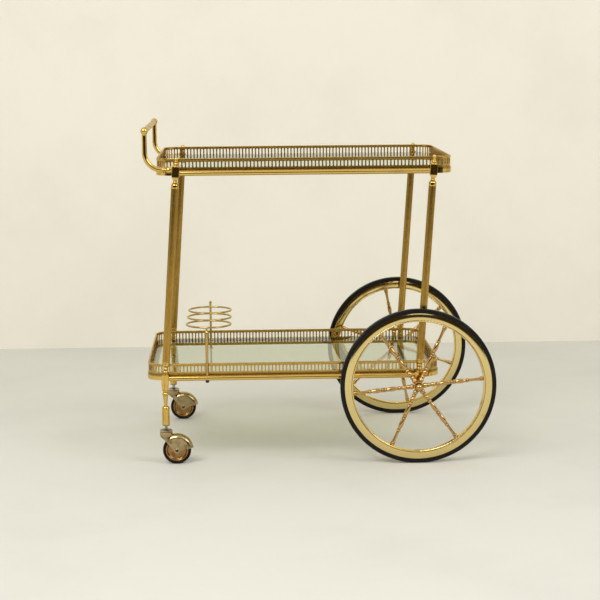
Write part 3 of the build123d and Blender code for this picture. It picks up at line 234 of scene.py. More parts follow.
class Graph:
    """Node tree of a material or the world, with the few builders that are used."""

    def __init__(self, owner: Owner, output: str = "ShaderNodeOutputMaterial") -> None:
        """Empty a node tree and give it its output.

        Args:
            owner: Material or world that holds the tree.
            output: Type of the output node.
        """
        owner.use_nodes = True
        self.owner = owner
        self.tree = owner.node_tree
        self.tree.nodes.clear()
        self.output = self.node(output)
        self._object: Union[Socket, None] = None

    def node(
        self,
        kind: str,
        settings: Union[dict[str, str], None] = None,
        values: Union[dict[Slot, "Fed"], None] = None,
    ) -> bpy.types.Node:
        """Add a node, set it up and feed its inputs.

        Args:
            kind: Type of the node.
            settings: Its own settings, such as a Math node's operation.
            values: Values and links of its inputs, by name or number.

        Returns:
            The node.
        """
        node = self.tree.nodes.new(kind)
        for name, setting in (settings or {}).items():
            setattr(node, name, setting)
        for slot, value in (values or {}).items():
            self.feed(node.inputs[slot], value)
        return node

    def feed(self, slot: Socket, value: "Fed") -> None:
        """Link a signal or an output to an input, or set a plain value on it.

        Args:
            slot: The input.
            value: What it takes; a colour gets an alpha of 1.
        """
        if isinstance(value, Signal):
            value = value.socket
        if isinstance(value, Socket):
            self.tree.links.new(value, slot)
        elif isinstance(value, tuple):
            slot.default_value = (*value, 1.0)
        else:
            slot.default_value = value

    def show(self, shader: bpy.types.Node) -> None:
        """Join a shader to the output."""
        self.feed(self.output.inputs["Surface"], shader.outputs[0])

    def place(self) -> tuple[Signal, Signal, Signal]:
        """Object coordinates in metres, as three signals."""
        if self._object is None:
            self._object = self.node("ShaderNodeTexCoord").outputs["Object"]
        split = self.node("ShaderNodeSeparateXYZ", values={0: self._object})
        return tuple(Signal(self, out) for out in split.outputs)

    def body(self) -> Socket:
        """Object coordinates in metres, as one vector socket."""
        return self.point(*self.place())

    def point(self, x: Value, y: Value, z: Value) -> Socket:
        """Vector socket made of three values."""
        return self.node("ShaderNodeCombineXYZ", values={0: x, 1: y, 2: z}).outputs[0]

    def noise(self, where: Socket, scale: float, detail: float = 2.0, rough: float = 0.5) -> Signal:
        """Smooth noise.

        Args:
            where: Vector that it is read at.
            scale: Features per unit of that vector.
            detail: Octaves.
            rough: Share of each finer octave.

        Returns:
            A signal round 0.5.
        """
        values = {"Vector": where, "Scale": scale, "Detail": detail, "Roughness": rough}
        return Signal(self, self.node("ShaderNodeTexNoise", values=values).outputs[0])

    def cells(self, where: Socket, scale: float) -> Signal:
        """Distance to the nearest of many scattered points.

        Args:
            where: Vector that it is read at.
            scale: Points per unit of that vector.

        Returns:
            A signal that is 0 at each point.
        """
        node = self.node("ShaderNodeTexVoronoi", values={"Vector": where, "Scale": scale})
        return Signal(self, node.outputs["Distance"])

    def blend(self, share: Signal, first: "Tint", second: "Tint") -> "Tint":
        """Colour between two others.

        Args:
            share: 0 gives the first, 1 the second.
            first: A colour or a colour socket.
            second: Likewise.

        Returns:
            The colour socket.
        """
        values = {0: share, 6: first, 7: second}
        return self.node("ShaderNodeMix", {"data_type": "RGBA"}, values).outputs[2]

    def bump(self, height: Signal, depth: float, strength: float = 1.0) -> Socket:
        """Normal bent by a height.

        Args:
            height: The height, 0 to 1.
            depth: Metres that 1 stands for.
            strength: Share of the effect.

        Returns:
            The normal socket.
        """
        values = {"Height": height, "Distance": depth, "Strength": strength}
        return self.node("ShaderNodeBump", values=values).outputs[0]

    def principled(self, values: dict[Slot, "Fed"]) -> None:
        """Join the main shader, with its values, to the output."""
        self.show(self.node("ShaderNodeBsdfPrincipled", values=values))

    def mix(self, share: Value, first: bpy.types.Node, second: bpy.types.Node) -> None:
        """Mix two shaders and join them to the output.

        Args:
            share: 0 gives the first, 1 the second.
            first: A shader.
            second: Likewise.
        """
        values = {0: share, 1: first.outputs[0], 2: second.outputs[0]}
        self.show(self.node("ShaderNodeMixShader", values=values))

    def backfacing(self) -> Signal:
        """1 on the back of a face, 0 on its front."""
        return Signal(self, self.node("ShaderNodeNewGeometry").outputs["Backfacing"])

    def radius_from(self, centre: Vector) -> Signal:
        """Distance from a crosswise axis through a point, in metres."""
        x, _, z = self.place()
        right, up = x - centre.x, z - centre.z
        return (right * right + up * up).root()

    def across(self, grain: Grain) -> Socket:
        """Coordinates squeezed so that noise on them runs as fine lines.

        Args:
            grain: Which way the lines run.

        Returns:
            The vector socket; one unit of its X is a metre across the lines.
        """
        x, y, z = self.place()
        if grain is Grain.ALONG_LEG:
            return self.point(x - z * math.tan(LEG_LEAN), y, z * MARK_SQUEEZE)
        if grain in (Grain.ROUND_WHEEL, Grain.ROUND_CASTER):
            centre = AXLE if grain is Grain.ROUND_WHEEL else CASTER_WHEEL
            return self.point(self.radius_from(centre), y, 0.0)
        if grain is Grain.TURNED_UPRIGHT:
            return self.point(z, 0.0, 0.0)
        if grain is Grain.TURNED_CROSSWISE:
            return self.point(y, 0.0, 0.0)
        return self.point(x, y, z)


Tint = Union[Colour, Socket]
Fed = Union[Value, Tint]


# Finishes


@dataclass(frozen=True)
class Finish(ABC):
    """A surface finish that makes one Blender material when first asked.

    Attributes:
        made: Materials made so far, by title.
        title: Name of the material.
    """

    made: ClassVar[dict[str, bpy.types.Material]] = {}

    title: str

    @abstractmethod
    def _build(self, graph: Graph) -> None:
        """Fill the graph with the finish's nodes."""

    def material(self) -> bpy.types.Material:
        """Material of this finish, made once."""
        if self.title not in Finish.made:
            graph = Graph(bpy.data.materials.new(self.title))
            self._build(graph)
            Finish.made[self.title] = graph.owner
        return Finish.made[self.title]


@dataclass(frozen=True)
class Brass(Finish):
    """Brass, from mirror polish to satin, with age spots and fine marks.

    Attributes:
        bright: Colour of the clean metal.
        aged: Colour where the lacquer has browned.
        gloss: Roughness of the clean metal.
        dull: Roughness where it has aged.
        ageing: Share of the surface that has browned, 0 to 1.
        grain: Which way the fine marks run.
        lines: Marks per metre.
        mark_depth: Depth of the marks, in metres.
        lacquer: Weight of the clear coat.
        spots: Share of dark age spots, 0 to 1.
        patch: Browned patches per metre.
        streaks: Share of upright brown streaks, 0 to 1.
        crown: Slope that polishing left on a wheel's side, rising away from the axle.
        edge: Tint of what it mirrors at a flat angle.
    """

    bright: Colour = (0.71, 0.49, 0.145)
    aged: Colour = (0.36, 0.21, 0.05)
    gloss: float = 0.09
    dull: float = 0.24
    ageing: float = 0.2
    grain: Grain = Grain.CLOUD
    lines: float = 900.0
    mark_depth: float = 0.000003
    lacquer: float = 0.1
    spots: float = 0.25
    patch: float = 16.0
    streaks: float = 0.0
    crown: float = 0.0
    edge: Colour = (0.96, 0.86, 0.64)

    def _build(self, graph: Graph) -> None:
        """Fill the graph with the metal's nodes."""
        browned, freckle = self._browned(graph), self._freckled(graph)
        fine = graph.noise(graph.across(self.grain), self.lines, 2.0, 0.5)
        marks = (fine - 0.5) * MARK_TONE

        metal = graph.blend(browned * BROWNED_TONE, self.bright, self.aged)
        if self.streaks:
            metal = graph.blend(self._streaked(graph), metal, self.aged)
        spot_and_shade_colour = tuple(part * SPOT_SHADE for part in self.aged)
        metal = graph.blend((freckle + marks).larger(0.0), metal, spot_and_shade_colour)
        # Grooves, creases and joins are darkened next: partly grime, partly painted shade; a frame's inner
        # faces are darker too
        overlay_share = self._dirt_and_shade(graph)
        if overlay_share is not None:
            metal = graph.blend(overlay_share, metal, spot_and_shade_colour)
        rough = browned.between(self.gloss, self.dull) + marks + freckle * FRECKLE_ROUGHNESS
        relief = fine * self.mark_depth
        turned = self._turned(graph)
        if turned is not None:
            relief = relief + turned

        values = {
            "Metallic": 1.0,
            "Specular Tint": self.edge,
            "Coat Weight": self.lacquer,
            "Coat Roughness": COAT_ROUGHNESS,
            "Base Color": metal,
            "Roughness": rough.larger(LEAST_ROUGHNESS),
            "Normal": graph.bump(relief, 1.0),
        }
        graph.principled(values)

    def _browned(self, graph: Graph) -> Signal:
        """Share of browning, in clouds with finer haze in them."""
        cloud = graph.noise(graph.body(), self.patch, 3.0, 0.5)
        haze = graph.noise(graph.body(), self.patch * HAZE_PER_PATCH, 3.0, 0.55)
        clear, full = 0.60 - self.ageing * 0.25, 0.85 - self.ageing * 0.2
        return (cloud * 0.75 + haze * 0.25).step(clear, full)

    def _freckled(self, graph: Graph) -> Signal:
        """Share of dark age spots, which stand in groups."""
        freckle = graph.cells(graph.body(), FRECKLES).step(0.16, 0.05)
        groups = graph.noise(graph.body(), FRECKLE_GROUPS, 2.0).step(0.62 - self.spots * 0.25, 0.72)
        return freckle * groups * self.spots

    def _streaked(self, graph: Graph) -> Signal:
        """Share of brown in streaks that run along the leaning legs."""
        x, y, z = graph.place()
        lean = graph.point(x - z * math.tan(LEG_LEAN), y, z * STREAK_SQUEEZE)
        return graph.noise(lean, STREAKS, 3.0, 0.6).step(0.45, 0.68) * self.streaks

    def _dirt_and_shade(self, graph: Graph) -> Union[Signal, None]:
        """Share of grime and painted crease shade in the grooves; none on plain pieces."""
        return None

    def _turned(self, graph: Graph) -> Union[Signal, None]:
        """Height of the shape that turning or polishing left; none on plain pieces."""
        return graph.radius_from(AXLE) * self.crown if self.crown else None


@dataclass(frozen=True)
class LinedBrass(Brass):
    """Turned brass with thin dark lines in its grooves and where its shapes join: partly grime, partly
    painted crease shade.

    Attributes:
        lined_heights: Heights above the floor, in metres.
        lined_radii: Distances from the large wheels' axle, in metres.
        line: Half width of a line.
        core: Share of that width that is fully dark.
        shade_and_dirt: Share of darkening in a line, grime and painted shade together, 0 to 1.
    """

    lined_heights: tuple[float, ...] = ()
    lined_radii: tuple[float, ...] = ()
    line: float = 0.0007
    core: float = 0.4
    shade_and_dirt: float = 0.8

    def _dirt_and_shade(self, graph: Graph) -> Union[Signal, None]:
        """Dark lines at the chosen heights and distances: painted crease shade, partly grime."""
        height, radius = graph.place()[2], graph.radius_from(AXLE)
        share: Union[Signal, None] = None
        for along, places in ((height, self.lined_heights), (radius, self.lined_radii)):
            for at in places:
                one = (along - at).absolute().step(self.line, self.line * self.core)
                share = one if share is None else share.larger(one)
        return share * self.shade_and_dirt if share is not None else None


@dataclass(frozen=True)
class FrameBrass(LinedBrass):
    """Brass of a tray frame, darker on its inner faces.

    Attributes:
        node: CAD node of the frame.
        length: Length of the frame.
        width: Width of the frame.
        corner: Radius of its corners.
        skin: Depth inside the frame's outline past which the metal is darker.
        fade: Share of that depth, either way, over which the darkening sets in.
        inner_darkening: Share of darkening inside, 0 to 1.
    """

    node: str = ""
    length: float = 0.6375
    width: float = 0.434
    corner: float = 0.040
    skin: float = 0.0010
    fade: float = 0.4
    inner_darkening: float = 0.6

    def _dirt_and_shade(self, graph: Graph) -> Union[Signal, None]:
        """Dark inside, added to the lines."""
        centre = middle(self.node)
        x, y, _ = graph.place()
        past_x = ((x - centre.x).absolute() - (self.length / 2 - self.corner)).larger(0.0)
        past_y = ((y - centre.y).absolute() - (self.width / 2 - self.corner)).larger(0.0)
        depth = self.corner - (past_x * past_x + past_y * past_y).root()
        inside = depth.step(self.skin * (1 - self.fade), self.skin * (1 + self.fade)) * self.inner_darkening
        lines = super()._dirt_and_shade(graph)
        return inside if lines is None else lines.larger(inside)


@dataclass(frozen=True)
class GroovedBrass(Brass):
    """Brass turned about a crosswise axis, dark in its grooves: painted groove shade, partly grime.

    Attributes:
        node: CAD node that it is turned from.
        clean: Radius above which it is neither grimy nor shaded.
        dirty_and_shaded: Radius below which it is fully dark, with grime and painted shade.
        bands: Distances of its darker ringed groups from the centre plane.
        band: Half width of a ringed group.
        core: Share of that width that is fully dark.
        shade_and_dirt: Share of darkening in a groove and in a group, grime and painted shade together, 0 to
            1.
        rings: Rings per metre.
        ring_depth: Depth of the rings, in metres.
    """

    node: str = "handle_grip"
    clean: float = 0.0060
    dirty_and_shaded: float = 0.0055
    bands: tuple[float, ...] = (0.0898, 0.1839)
    band: float = 0.012
    core: float = 0.8
    shade_and_dirt: float = 0.5
    rings: float = 140.0
    ring_depth: float = 0.0006

    def _dirt_and_shade(self, graph: Graph) -> Union[Signal, None]:
        """Dark bottoms of the grooves, in groups that are darker as a whole: painted groove shade, partly
        grime.
        """
        share = graph.radius_from(middle(self.node)).step(self.clean, self.dirty_and_shaded)
        off_centre = graph.place()[1].absolute()
        for at in self.bands:
            share = share.larger((off_centre - at).absolute().step(self.band, self.band * self.core))
        return share * self.shade_and_dirt

    def _turned(self, graph: Graph) -> Union[Signal, None]:
        """Round shoulders of the rings."""
        return (graph.place()[1] * (self.rings * math.tau)).sine() * self.ring_depth


@dataclass(frozen=True)
class Plating(Finish):
    """Zinc plate on steel, with dull grey patches.

    Attributes:
        colour: Colour of the plate.
        shade: Share of that colour left in a patch.
        gloss: Roughness.
        patches: Dull patches per metre.
        rings: Turned marks per metre.
        ring_depth: Their depth, in metres.
    """

    colour: Colour = (0.40, 0.43, 0.42)
    shade: float = 0.55
    gloss: float = 0.25
    patches: float = 260.0
    rings: float = 1800.0
    ring_depth: float = 0.00001

    def _build(self, graph: Graph) -> None:
        """Fill the graph with the plate's nodes."""
        patch = graph.noise(graph.body(), self.patches, 4.0, 0.6).step(0.42, 0.66)
        ring = graph.noise(graph.across(Grain.TURNED_UPRIGHT), self.rings, 2.0)
        dark = tuple(part * self.shade for part in self.colour)
        rough = patch.between(self.gloss, self.gloss + 0.2) + (ring - 0.5) * 0.1
        values = {
            "Metallic": 1.0,
            "Base Color": graph.blend(patch, self.colour, dark),
            "Roughness": rough,
            "Normal": graph.bump(ring, self.ring_depth),
        }
        graph.principled(values)


@dataclass(frozen=True)
class Rubber(Finish):
    """Black rubber with a dusty bloom and a fine moulded grain.

    Attributes:
        colour: Colour of the clean rubber.
        dust: Colour of the dust in its pores.
        grain: Which way the moulded rings run.
        sheen: Strength of its gloss.
        blooms: Dusty patches per metre.
        pores: Pores per metre.
        rings: Moulded rings per metre.
        relief: Depth of pores and rings, in metres.
    """

    colour: Colour = (0.0035, 0.003, 0.0028)
    dust: Colour = (0.030, 0.026, 0.020)
    grain: Grain = Grain.ROUND_WHEEL
    sheen: float = 0.22
    blooms: float = 45.0
    pores: float = 1500.0
    rings: float = 1300.0
    relief: float = 0.00012

    def _build(self, graph: Graph) -> None:
        """Fill the graph with the rubber's nodes."""
        bloom = graph.noise(graph.body(), self.blooms, 4.0, 0.6).step(0.45, 0.8)
        pore = graph.noise(graph.body(), self.pores, 2.0, 0.6)
        ring = graph.noise(graph.across(self.grain), self.rings, 2.0)
        overlay_share = (bloom * 0.5 + pore.step(0.5, 0.75) * 0.22).smaller(1.0)
        rough = bloom.between(0.30, 0.55) + (pore - 0.5) * 0.15
        values = {
            "Specular IOR Level": self.sheen,
            "Base Color": graph.blend(overlay_share * 0.55, self.colour, self.dust),
            "Roughness": rough,
            "Normal": graph.bump(pore * 0.4 + ring * 0.6, self.relief, 0.7),
        }
        graph.principled(values)


@dataclass(frozen=True)
class SmokedGlass(Finish):
    """Smoked plate glass that mirrors more the flatter it is looked at.

    Attributes:
        tint: Colour that one face lets through.
        mirrored: Colour of what it mirrors.
        density: Its index of refraction.
        films: Greasy patches per metre.
    """

    tint: Colour = (0.83, 0.85, 0.76)
    mirrored: Colour = (0.93, 0.97, 0.92)
    density: float = 1.52
    films: float = 9.0

    def _build(self, graph: Graph) -> None:
        """Fill the graph with the glass's nodes."""
        film = graph.noise(graph.body(), self.films, 5.0, 0.6).step(0.45, 0.75)
        values = {"Color": self.mirrored, "Roughness": film.between(0.015, 0.06)}
        mirror = graph.node("ShaderNodeBsdfGlossy", values=values)
        clear = graph.node("ShaderNodeBsdfTransparent", values={"Color": self.tint})
        fresnel = graph.node("ShaderNodeFresnel", values={"IOR": self.density})
        graph.mix(Signal(graph, fresnel.outputs[0]) * (1.0 - graph.backfacing()), clear, mirror)


POLISHED = Brass("brass_polished")
GALLERY = LinedBrass(
    "brass_gallery",
    bright=(0.55, 0.365, 0.10),
    aged=(0.34, 0.19, 0.045),
    gloss=0.24,
    dull=0.40,
    ageing=0.4,
    lines=1200.0,
    patch=60.0,
    # Dark lines at the galleries' feet are painted shadow where they stand on the frames
    lined_heights=(0.1955, 0.6395),
    line=0.0030,
    shade_and_dirt=0.45,
)
FRAMES = {
    level: FrameBrass(
        f"brass_frame_{level.value}",
        # Dark line at each frame's ledge is painted shade where the gallery stands on it
        lined_heights=(height,),
        line=0.0030,
        shade_and_dirt=0.6,
        node=f"{level.value}_tray_frame",
    )
    for level, height in ((Level.UPPER, 0.6370), (Level.LOWER, 0.1930))
}
REEDED = Brass(
    "brass_reeded",
    bright=(0.56, 0.365, 0.085),
    aged=(0.30, 0.17, 0.035),
    gloss=0.20,
    dull=0.30,
    ageing=0.25,
    grain=Grain.ALONG_LEG,
    streaks=0.45,
)
TURNED = LinedBrass(
    "brass_turned",
    bright=(0.72, 0.49, 0.12),
    ageing=0.3,
    patch=70.0,
    streaks=0.6,
    # Dark rings at the feet's, necks' and finials' creases and joins: painted shade, partly grime
    lined_heights=(
        *(0.0862, 0.1296, 0.1515, 0.1578, 0.1633, 0.1989, 0.2065, 0.2158),
        *(0.6058, 0.6109, 0.6152, 0.6494, 0.6547, 0.6588),
    ),
)
WIRE = Brass("brass_wire", bright=(0.52, 0.37, 0.13), gloss=0.10, dull=0.26, ageing=0.4, patch=60.0)
PALE_RIM = Brass(
    "brass_pale",
    bright=(0.76, 0.61, 0.27),
    gloss=0.08,
    dull=0.18,
    ageing=0.15,
    grain=Grain.ROUND_WHEEL,
    spots=0.1,
    crown=0.085,
)
COPPERY = LinedBrass(
    "brass_copper_gold",
    bright=(0.60, 0.39, 0.15),
    aged=(0.26, 0.135, 0.045),
    gloss=0.07,
    dull=0.2,
    ageing=0.4,
    patch=90.0,
    # Dark rings at the hub's and spokes' turned steps: painted crease shade, partly grime
    lined_radii=(0.0085, 0.0194, 0.0259, 0.0381, 0.0449, 0.0699, 0.0751, 0.0804, 0.1033, 0.1092, 0.1351),
    line=0.0010,
)
ANTIQUE = Brass(
    "brass_antique",
    bright=(0.46, 0.355, 0.19),
    aged=(0.14, 0.095, 0.04),
    gloss=0.16,
    dull=0.36,
    ageing=0.6,
    patch=95.0,
)
AMBER_DISC = Brass(
    "brass_caster_disc",
    bright=(0.36, 0.205, 0.075),
    aged=(0.11, 0.05, 0.018),
    gloss=0.14,
    ageing=0.6,
    grain=Grain.ROUND_CASTER,
    patch=95.0,
)
PIN = Brass(
    "brass_pin",
    bright=(0.20, 0.15, 0.08),
    aged=(0.07, 0.05, 0.03),
    gloss=0.22,
    ageing=0.5,
    patch=200.0,
)
ROSE = GroovedBrass(
    "brass_rose",
    bright=(0.70, 0.51, 0.23),
    aged=(0.34, 0.20, 0.08),
    edge=(0.80, 0.62, 0.36),
    gloss=0.12,
    ageing=0.5,
    grain=Grain.TURNED_CROSSWISE,
    patch=60.0,
)
BRAZE = Brass(
    "braze_metal",
    bright=(0.66, 0.52, 0.28),
    aged=(0.32, 0.22, 0.10),
    gloss=0.22,
    dull=0.40,
    ageing=0.5,
)
ZINC = Plating("steel_zinc")
NICKEL = LinedBrass(
    "steel_nickel",
    bright=(0.50, 0.45, 0.35),
    aged=(0.13, 0.115, 0.085),
    gloss=0.14,
    ageing=0.3,
    patch=120.0,
    # Dark lines at the caps' edges and the gap to the housing: painted shade, partly grime
    lined_heights=(0.0719, 0.0758, 0.0766),
    line=0.0008,
)
# Flat black standing in for shade: the bottle holder's nut end under the frame and the cups in the caster
# pins' heads
PAINTED_SHADE_BLACK = Rubber("nut_black", colour=(0.02, 0.02, 0.02), dust=(0.08, 0.07, 0.06))
TYRE = Rubber("rubber_black")
CASTER_TYRE = Rubber("rubber_caster", grain=Grain.ROUND_CASTER)
GLASS = SmokedGlass("smoked_glass")


def dress(node_name: str, finish: Finish) -> None:
    """Give one CAD node its finish.

    Args:
        node_name: The node.
        finish: What it is finished in.
    """
    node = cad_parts[node_name]
    node.data.materials.clear()
    node.data.materials.append(finish.material())


# Bench tools: meshes shaped in edit mode, then copied to their places


FaceTest = Callable[[Vector, Vector], bool]


def set_mode(mode: str) -> None:
    """Enter or leave edit mode.

    Args:
        mode: "EDIT" or "OBJECT".
    """
    bpy.ops.object.mode_set(mode=mode)


def clear_bench() -> None:
    """Leave edit mode and deselect everything."""
    if bpy.context.mode != "OBJECT":
        set_mode("OBJECT")
    bpy.ops.object.select_all(action="DESELECT")


def pick_faces(model: bpy.types.Object, wanted: FaceTest) -> None:
    """Enter edit mode with some of a model's faces selected.

    Args:
        model: The active mesh.
        wanted: Takes a face's middle and normal, and says whether it is picked.
    """
    set_mode("EDIT")
    bpy.ops.mesh.select_mode(type="FACE")
    bpy.ops.mesh.select_all(action="DESELECT")
    set_mode("OBJECT")
    for face in model.data.polygons:
        face.select = wanted(face.center, face.normal)
    set_mode("EDIT")


def end_face(middle_point: Vector, normal: Vector) -> bool:
    """True for a face square to the model's own Z."""
    return abs(normal.z) > SQUARE_TO_Z


def outer_end(middle_point: Vector, normal: Vector) -> bool:
    """True for the face at the top of the model's own Z."""
    return normal.z > SQUARE_TO_Z


def set_down(model: bpy.types.Object, place: Matrix, name: str, finish: Finish, body: str) -> None:
    """Copy a bench model to its place, dress it, and let it ride a body.

    Args:
        model: The shaped model.
        place: Where the copy goes.
        name: Name of the piece.
        finish: What it is finished in.
        body: Body that it rides on.
    """
    clear_bench()
    model.select_set(True)
    bpy.context.view_layer.objects.active = model
    bpy.ops.object.duplicate(linked=False)
    piece = bpy.context.view_layer.objects.active
    piece.name = name
    piece.data.name = name
    piece.matrix_world = place
    bpy.ops.object.transform_apply(location=True, rotation=True, scale=True)
    piece.data.materials.clear()
    piece.data.materials.append(finish.material())
    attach(piece, body)


def clear_away(model: bpy.types.Object) -> None:
    """Remove a bench model once its copies are set down."""
    clear_bench()
    bpy.data.objects.remove(model, do_unlink=True)


# Sub-assemblies


class SubAssembly(ABC):
    """A group of pieces that is finished together."""

    @property
    @abstractmethod
    def finishes(self) -> dict[str, Finish]:
        """CAD nodes of this group and their finishes."""

    def make(self) -> None:
        """Dress the CAD nodes and build the added pieces."""
        for node_name, finish in self.finishes.items():
            dress(node_name, finish)
        self.build()
        LOG.info("%s: %d CAD nodes dressed", type(self).__name__, len(self.finishes))

    def build(self) -> None:
        """Build the pieces that the CAD frame doesn't hold; none by default."""


@dataclass
class Tray(SubAssembly):
    """A tray: frame, four gallery strips, two side rails and glass.

    Attributes:
        level: Which of the two trays.
    """

    level: Level

    @property
    def finishes(self) -> dict[str, Finish]:
        """CAD nodes of the tray and their finishes."""
        tag = self.level.value
        strips = [f"{tag}_gallery_{strip}" for strip in ("near", "far", "caster_end", "wheel_end")]
        return {
            f"{tag}_tray_frame": FRAMES[self.level],
            f"{tag}_side_rails": POLISHED,
            f"{tag}_glass": GLASS,
            **dict.fromkeys(strips, GALLERY),
        }


@dataclass
class Legs(SubAssembly):
    """Four leaning legs with their blocks, finials, necks, feet and tube collars.

    Attributes:
        collar_radius: Outer radius of the thin collar at each end of a tube.
        collar_height: Its height.
        collar_wall: Width of the ring.
        rounding: Share of its height that is rounded off at each edge.
        rounded_above: Angle above which an edge is rounded.
    """

    collar_radius: float = 0.0086
    collar_height: float = 0.0018
    collar_wall: float = 0.0016
    rounding: float = 0.35
    rounded_above: float = math.radians(40)

    @property
    def finishes(self) -> dict[str, Finish]:
        """CAD nodes of the legs and their finishes."""
        chosen: dict[str, Finish] = {
            "upper_blocks": POLISHED,
            "finials": TURNED,
            "upper_necks": TURNED,
            "lower_necks": TURNED,
            "tie_rods": ZINC,
            "tray_screws": ZINC,
        }
        for side in Side:
            for end in LEG_ENDS:
                chosen[f"leg_tube_{side.tag}_{end}"] = REEDED
            chosen[f"caster_foot_{side.tag}"] = TURNED
            chosen[f"axle_foot_{side.tag}"] = TURNED
        return chosen

    def build(self) -> None:
        """Collars where the reeded tubes meet their turned necks."""
        model = self._collar()
        tilt = Matrix.Rotation(LEG_LEAN, 4, "Y")
        across, drop = LEG_RADIUS * math.cos(LEG_LEAN), LEG_RADIUS * math.sin(LEG_LEAN)
        for side in Side:
            for end in LEG_ENDS:
                tube = f"leg_tube_{side.tag}_{end}"
                low, high = (Vector(corner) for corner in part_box(tube))
                middle_y = (low.y + high.y) / 2
                ends = {
                    "top": Vector((high.x - across, middle_y, high.z - drop)),
                    "bottom": Vector((low.x + across, middle_y, low.z + drop)),
                }
                for where, point in ends.items():
                    place = Matrix.Translation(point) @ tilt
                    set_down(model, place, f"{tube}_collar_{where}", POLISHED, "cart")
        clear_away(model)

    def _collar(self) -> bpy.types.Object:
        """Thin rounded ring, its axis along Z.

        Returns:
            The bench model.
        """
        clear_bench()
        bpy.ops.mesh.primitive_cylinder_add(vertices=48, radius=self.collar_radius, depth=self.collar_height)
        model = bpy.context.view_layer.objects.active
        pick_faces(model, end_face)
        bpy.ops.mesh.inset(thickness=self.collar_wall)
        bpy.ops.mesh.delete(type="FACE")
        bpy.ops.mesh.select_mode(type="EDGE")
        bpy.ops.mesh.select_non_manifold()
        bpy.ops.mesh.bridge_edge_loops()
        set_mode("OBJECT")
        rounding = model.modifiers.new("rounding", "BEVEL")
        rounding.width = self.collar_height * self.rounding
        rounding.segments = 3
        rounding.angle_limit = self.rounded_above
        bpy.ops.object.modifier_apply(modifier=rounding.name)
        set_mode("EDIT")
        bpy.ops.mesh.select_all(action="SELECT")
        bpy.ops.mesh.normals_make_consistent(inside=False)
        set_mode("OBJECT")
        bpy.ops.object.shade_smooth_by_angle(angle=SMOOTH_BELOW)
        return model


@dataclass
class LargeWheel(SubAssembly):
    """A spoked wheel with its tyre.

    Attributes:
        side: Long side of the cart that it stands on.
    """

    side: Side

    @property
    def finishes(self) -> dict[str, Finish]:
        """CAD nodes of the wheel and their finishes."""
        tag = self.side.tag
        return {
            f"wheel_hub_{tag}": COPPERY,
            f"wheel_spokes_{tag}": COPPERY,
            f"wheel_rim_{tag}": PALE_RIM,
            f"wheel_tyre_{tag}": TYRE,
        }


class Axle(SubAssembly):
    """The axle and its domed nuts."""

    @property
    def finishes(self) -> dict[str, Finish]:
        """CAD nodes of the axle and their finishes."""
        return {"axle": ZINC, "axle_nuts": COPPERY}


@dataclass
class Caster(SubAssembly):
    """A hooded swivel caster, with black cups in its pin's heads as painted shade.

    Attributes:
        side: Long side of the cart that it stands on.
        socket_radius: Radius of the cup pressed into each head.
        socket_rim: Width of the cup's rim.
        socket_depth: Depth of the cup.
    """

    side: Side
    socket_radius: float = 0.0021
    socket_rim: float = 0.0005
    socket_depth: float = 0.0008

    @property
    def finishes(self) -> dict[str, Finish]:
        """CAD nodes of the caster and their finishes."""
        tag = self.side.tag
        return {
            f"caster_fork_{tag}": ANTIQUE,
            f"caster_pin_{tag}": PIN,
            f"caster_disc_{tag}": AMBER_DISC,
            f"caster_tyre_{tag}": CASTER_TYRE,
        }

    def build(self) -> None:
        """Set a cup, black as painted shade, into both heads of the axle pin."""
        clear_bench()
        depth = self.socket_depth
        bpy.ops.mesh.primitive_cylinder_add(vertices=24, radius=self.socket_radius, depth=2 * depth)
        model = bpy.context.view_layer.objects.active
        pick_faces(model, outer_end)
        bpy.ops.mesh.inset(thickness=self.socket_rim)
        bpy.ops.mesh.extrude_region_move(TRANSFORM_OT_translate={"value": (0, 0, -depth)})
        bpy.ops.mesh.inset(thickness=self.socket_rim)
        bpy.ops.mesh.merge(type="CENTER")
        set_mode("OBJECT")
        bpy.ops.object.shade_smooth_by_angle(angle=SMOOTH_BELOW)
        low, high = (Vector(corner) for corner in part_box(f"caster_pin_{self.side.tag}"))
        centre = (low + high) / 2
        for face, y, turn in (("near", low.y, 90), ("far", high.y, -90)):
            point = Vector((centre.x, y, centre.z))
            place = Matrix.Translation(point) @ Matrix.Rotation(math.radians(turn), 4, "X")
            name = f"caster_{self.side.tag}_pin_socket_{face}"
            set_down(model, place, name, PAINTED_SHADE_BLACK, f"caster_swivel_{self.side.tag}")
        clear_away(model)


class CasterMounts(SubAssembly):
    """The casters' fixed stems and raceway caps."""

    @property
    def finishes(self) -> dict[str, Finish]:
        """CAD nodes of the caster mounts and their finishes."""
        return {"caster_stems": ZINC, "caster_caps": NICKEL}


class PushHandle(SubAssembly):
    """The push handle: arms, ferrules, balls and grip."""

    @property
    def finishes(self) -> dict[str, Finish]:
        """CAD nodes of the handle and their finishes."""
        polished = ("handle_arm_near", "handle_arm_far", "handle_ferrules", "handle_balls")
        return {**dict.fromkeys(polished, POLISHED), "handle_grip": ROSE}


